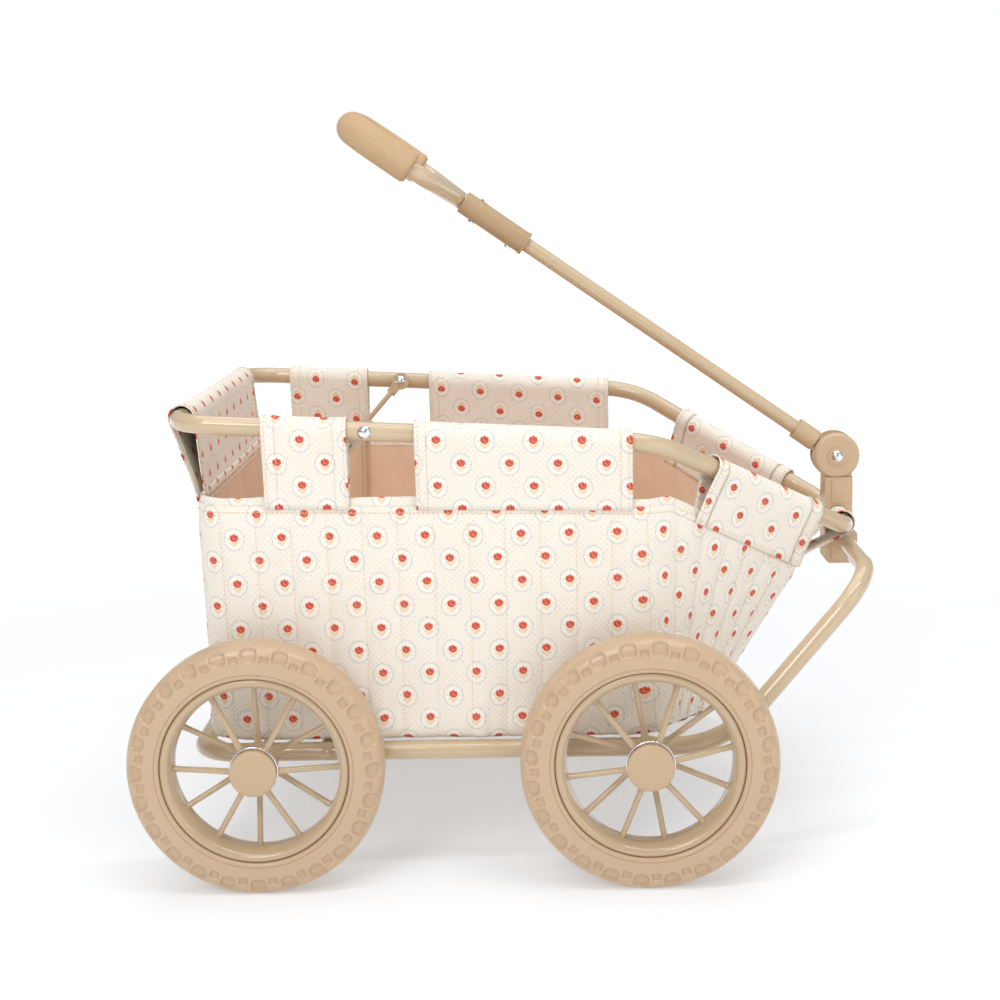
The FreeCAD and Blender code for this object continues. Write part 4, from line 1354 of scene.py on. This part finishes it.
    def facing(self, shell: np.ndarray, out: np.ndarray) -> None:
        """Folded cloth band that stands between the tabs along the top seam.

        Args:
            shell: The outer wall's points.
            out: Their outward directions.
        """
        top = shell[-1] - out[-1] * 0.0028
        count = len(top)
        wave = np.array([0.0015 * ripple(p, 22.0, 5.0) + 0.0008 * ripple(p, 60.0, 9.0) for p in top])
        section = [(0.0011, -0.0035), (0.0012, 0.002), (0.0012, 0.0055), (0.0009, 0.0068), (0.0003, 0.0074)]
        section += [(-side, rise) for side, rise in reversed(section)]
        rows = np.empty((len(section), count, 3))
        for i, (side, rise) in enumerate(section):
            rows[i] = top + out[-1] * side
            rows[i, :, 2] = top[:, 2] + rise + (wave if rise > 0.003 else 0.0)
        round_it = run_of(np.concatenate([top, top[:1]]))
        cloth = np.empty((len(section), count + 1, 2))
        cloth[..., 0] = round_it
        climb = run_of(np.array(section))
        cloth[..., 1] = climb[:, None] + self.wall_height
        draft = Draft()
        draft.grid(rows, cloth, ring=True, closed=False)
        band = set_up(draft.piece("basket_top_facing", SOFT), Finish.PRINT, "chassis")

    def strap(self, name: str, node: str, start: tuple, end: tuple, hem: float = 0.0115,
              steps: int = 40, split: tuple[float, float] | None = None, seed: float = 0.0,
              foot_row: bool = False) -> None:
        """A doubled cloth strap over the rail, hemmed along both cut edges.

        Args:
            name: The piece's name.
            node: The frame's node that it stands for.
            start: Station at one end: centre, outward and down directions, and depth.
            end: Station at the other end.
            hem: Width of the side hems.
            steps: How many columns run along the rail.
            split: Range along the strap, in metres, that is left open.
            seed: Shift of its creases.
            foot_row: Whether a row of stitches runs along its foot.
        """
        span = (end[0] - start[0]).length
        shares = np.unique(np.concatenate([np.linspace(0.0, 1.0, steps), [hem / span, 1.0 - hem / span],
                                           [hem / span - 0.0007 / span, 1.0 - hem / span + 0.0007 / span]]))
        wrap = self.tube + 0.0012
        foot = 0.0021
        columns = []
        cloth_columns = []
        normals = []
        for share in shares:
            centre = start[0].lerp(end[0], share)
            out = start[1].lerp(end[1], share).normalized()
            down = start[2].lerp(end[2], share).normalized()
            reach = start[3] + (end[3] - start[3]) * share + 0.0015
            far = math.hypot(foot, reach)
            tangent = math.atan2(foot, reach) + math.acos(wrap / far)
            touch = Vector((wrap * math.sin(tangent), wrap * math.cos(tangent)))
            line = [Vector((foot + (touch.x - foot) * (k / 12.0) ** 1.8,
                            reach + (touch.y - reach) * k / 12.0)) for k in range(12)]
            for angle in np.linspace(tangent, 2.0 * math.pi - tangent, 20):
                line.append(Vector((wrap * math.sin(angle), wrap * math.cos(angle))))
            inner = [Vector((-p.x, p.y)) for p in reversed(line[:12])]
            line += inner
            flat = np.array([tuple(p) for p in line])
            turn = np.gradient(flat, axis=0)
            normal = np.stack([turn[:, 1] * -1.0, turn[:, 0]], axis=1)
            normal /= np.linalg.norm(normal, axis=1)[:, None]
            edge = min(share, 1.0 - share) * span
            thick = 0.0005 * (1.0 if edge < hem else 0.0)
            curl = 0.0006 * max(0.0, 1.0 - edge / 0.004) ** 2
            column = []
            outs = []
            for k, ((side, low), (n_side, n_low)) in enumerate(zip(flat, normal)):
                height = k / (len(flat) - 1)
                from_hem = height if height < 0.5 else 1.0 - height
                slack = math.sin(math.pi * min(1.0, from_hem / 0.36)) ** 2
                at = centre + out * side + down * low
                crease = 0.0007 * ripple(at, 42.0, seed) + 0.0004 * ripple(at, 110.0, seed + 3.0)
                raised = thick + curl + (crease + 0.0006) * slack
                way = out * n_side + down * n_low
                if way.dot(out * side + down * low) < 0.0:
                    way = -way
                column.append(tuple(at + way * raised))
                outs.append(tuple(way))
            columns.append(column)
            normals.append(outs)
            climb = run_of(flat)
            cloth_columns.append([(share * span + seed * 0.013, c) for c in climb])
        points = np.array(columns).transpose(1, 0, 2)
        cloth = np.array(cloth_columns).transpose(1, 0, 2)
        outward = np.array(normals).transpose(1, 0, 2)
        if split:
            here = shares * span
            keep = [here <= split[0], here >= split[1]]
        else:
            keep = [shares >= 0.0]
        draft = Draft()
        for chosen in keep:
            draft.grid(points[:, chosen], cloth[:, chosen])
        obj = draft.piece(name, SOFT)
        solid = obj.modifiers.new("cloth_thickness", "SOLIDIFY")
        solid.thickness = 0.0009
        solid.offset = 1.0
        set_up(obj, Finish.PRINT, "chassis", node)
        for inset in (0.0022, hem - 0.0016):
            for share in (inset / span, 1.0 - inset / span):
                j = int(np.argmin(np.abs(shares - share)))
                thread_row(self.thread, points[:, j] + outward[:, j] * 0.0010, outward[:, j])
        if foot_row:
            thread_row(self.thread, points[1] + outward[1] * 0.0010, outward[1])

    def side_station(self, x: float, side: float) -> tuple:
        """Strap station on the straight rail."""
        height = self.rail_rear.z - self.rail_fall * (x - self.rail_rear.x)
        centre = Vector((x, side * self.rail_half, height))
        return (centre, Vector((0.0, side, 0.0)), Vector((0.0, 0.0, -1.0)), height - self.seam_height(x))

    def nose_station(self, share: float, reach: float, side: float) -> tuple:
        """Strap station on the slanting nose of the rail."""
        knee = self.side_station(self.rail_knee_x, 1.0)[0]
        heading = (self.rail_nose - knee).normalized()
        centre = knee.lerp(self.rail_nose, share)
        down = Vector((0.0, 0.0, -1.0))
        down = (down - heading * heading.dot(down)).normalized()
        out = heading.cross(down).normalized()
        if out.y < 0.0:
            out = -out
        if side < 0.0:
            centre, down, out = mirrored(centre), mirrored(down), mirrored(out)
        return (centre, out, down, reach)

    def straps(self) -> None:
        """The six tabs and the two end flaps."""
        for hand, side, rear, middle in (("left", 1.0, (-0.217, -0.142), (-0.083, 0.090)),
                                         ("right", -1.0, (-0.190, -0.124), (-0.072, 0.096))):
            seed = 11.0 if side > 0.0 else 2.0
            self.strap("rear_tab_cloth_" + hand, "rear_tab_" + hand, self.side_station(rear[0], side),
                       self.side_station(rear[1], side), steps=26, seed=seed)
            self.strap("middle_tab_cloth_" + hand, "middle_tab_" + hand, self.side_station(middle[0], side),
                       self.side_station(middle[1], side), steps=56, seed=seed + 1.0)
            self.strap("front_tab_cloth_" + hand, "front_tab_" + hand,
                       self.nose_station(0.27, 0.0445, side), self.nose_station(0.815, 0.046, side),
                       steps=44, seed=seed + 2.0, foot_row=True)
        ends = (("rear_flap", (-0.259, 0.0, 0.3645), (-0.2455, 0.0, 0.2992), 0.152, 80, None),
                ("front_flap", (0.281, 0.0, 0.2505), (0.2415, 0.0, 0.2235), 0.044, 60, (0.0285, 0.0595)))
        for node, tube, hem, half, steps, split in ends:
            tube, hem = Vector(tube), Vector(hem)
            down = (hem - tube).normalized()
            out = down.cross(Y_AXIS)
            if (out.x > 0.0) != (tube.x > 0.0):
                out = -out
            depth = (hem - tube).length
            first, last = [(tube + Y_AXIS * y, out, down, depth) for y in (-half, half)]
            self.strap(node + "_cloth", node, first, last, hem=0.008, steps=steps, split=split,
                       seed=20.0 + half)

    def base_mat(self) -> None:
        """Cloth-covered stiff board on the basket's floor."""
        node = "base_board"
        low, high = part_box(node)
        middle = (low.z + high.z) / 2.0
        corners = [Vector((low.x, 0.168, 0.0)), Vector((0.104, 0.168, 0.0)), Vector((high.x, 0.096, 0.0))]
        loop = corners + [mirrored(p) for p in reversed(corners)]
        edge = sampled(rounded(loop, [0.024, 0.030, 0.020, 0.020, 0.030, 0.024], True), 0.008, True)
        ring = np.array([tuple(p) for p in edge])
        spine = ring.copy()
        spine[:, 0] = np.clip(ring[:, 0], -0.10, 0.03)
        spine[:, 1] = 0.0
        rows = []
        section = [(1.0, 0.0), (0.8, 0.1), (0.6, 0.1), (0.4, 0.1), (0.2, 0.1), (0.07, 0.1), (0.03, 0.0),
                   (0.008, -0.3), (0.0, -1.0), (0.008, -1.7), (0.03, -2.0), (0.2, -2.0),
                   (0.6, -2.0), (1.0, -2.0)]
        half = (high.z - low.z) / 2.0
        for share, drop in section:
            row = ring + (spine - ring) * share
            row[:, 2] = middle + half * (1.0 + drop)
            if drop > 0.0:
                row[:, 2] += [0.0003 * ripple(p, 30.0, 1.0) for p in row]
            rows.append(row)
        points = np.array(rows)
        cloth = np.concatenate([points[..., :2], points[:, :1, :2]], axis=1)
        draft = Draft()
        draft.grid(points, cloth, ring=True, flip=True)
        mat = set_up(draft.piece("base_board_cover", SOFT, 0.00005), Finish.BOARD, "chassis", node)

    def build(self) -> None:
        """Make all the cloth and its thread."""
        self.walls()
        self.straps()
        self.base_mat()
        set_up(self.thread.piece("basket_topstitching", SOFT), Finish.THREAD, "chassis")


# --- studio -------------------------------------------------------------------------------------


@dataclass
class Studio:
    """Camera, pale floor, and soft light."""

    eye: Vector = field(default_factory=lambda: Vector((0.0312, -1.5992, 0.5436)))
    yaw: float = -0.0270
    pitch: float = 0.1706
    roll: float = -0.0231
    lens: float = 66.6
    reach: float = 30.0
    air_light: float = 0.42
    target: Vector = field(default_factory=lambda: Vector((0.0, 0.0, 0.25)))
    lamps: tuple = (("key_soft_box", (-1.0, -2.7, 2.2), (1.3, 1.3), 29.0),
                    ("top_soft_box", (0.1, 0.5, 2.6), (2.6, 2.0), 25.0),
                    ("strip_light", (0.2, -0.9, 2.3), (2.4, 0.10), 14.0),
                    ("front_fill", (2.2, -1.9, 1.1), (1.6, 1.6), 9.0))

    def camera(self) -> None:
        """Camera at the height and distance of a product view."""
        level = math.cos(self.pitch)
        ahead = Vector((math.sin(self.yaw) * level, math.cos(self.yaw) * level, -math.sin(self.pitch)))
        right = Vector((math.cos(self.yaw), -math.sin(self.yaw), 0.0))
        up = right.cross(ahead)
        level_right = right * math.cos(self.roll) + up * math.sin(self.roll)
        level_up = up * math.cos(self.roll) - right * math.sin(self.roll)
        data = bpy.data.cameras.new("camera")
        data.lens = self.lens
        data.sensor_width = 36.0
        obj = bpy.data.objects.new("camera", data)
        axes = Matrix((level_right, level_up, -ahead)).transposed().to_4x4()
        obj.matrix_world = Matrix.Translation(self.eye) @ axes
        bpy.context.scene.collection.objects.link(obj)
        bpy.context.scene.camera = obj

    def lamp(self, name: str, place: Vector, size: tuple[float, float], power: float) -> None:
        """A soft box aimed at the middle of the wagon.

        Args:
            name: The lamp's name.
            place: Where it stands.
            size: Its width and height, in metres.
            power: Its power, in watts.
        """
        data = bpy.data.lights.new(name, "AREA")
        data.shape = "RECTANGLE"
        data.size, data.size_y = size
        data.energy = power
        obj = bpy.data.objects.new(name, data)
        aim = (place - self.target).to_track_quat("Z", "Y")
        obj.matrix_world = Matrix.Translation(place) @ aim.to_matrix().to_4x4()
        bpy.context.scene.collection.objects.link(obj)

    def build(self) -> None:
        """Make the studio."""
        self.camera()
        r = self.reach
        floor = new_piece("studio_floor", [(-r, -r, 0), (r, -r, 0), (r, r, 0), (-r, r, 0)], [(0, 1, 2, 3)])
        floor.data.materials.append(Backdrop().material())
        self.air()
        for name, place, size, power in self.lamps:
            self.lamp(name, Vector(place), size, power)
        bpy.context.scene.view_settings.view_transform = "Standard"

    def air(self) -> None:
        """White surroundings that light the wagon less than they show."""
        world = bpy.data.worlds.new("studio_air")
        world.use_nodes = True
        tree = world.node_tree
        sky = tree.nodes["Background"]
        sky.inputs["Color"].default_value = (1.0, 1.0, 1.0, 1.0)
        ray = tree.nodes.new("ShaderNodeLightPath")
        level = tree.nodes.new("ShaderNodeMapRange")
        level.inputs["To Min"].default_value = self.air_light
        level.inputs["To Max"].default_value = 1.0
        tree.links.new(ray.outputs["Is Camera Ray"], level.inputs["Value"])
        tree.links.new(level.outputs[0], sky.inputs["Strength"])
        bpy.context.scene.world = world


def main() -> None:
    """Build the wagon's looks round the frame, one sub-assembly after another."""
    logging.basicConfig(level=logging.INFO, format="%(name)s: %(message)s")
    for part in (Studio(), Chassis(), Wheels(), PullHandle(), Basket()):
        part.build()
        LOG.info("%s built", type(part).__name__)


if __name__ == "__main__":
    main()
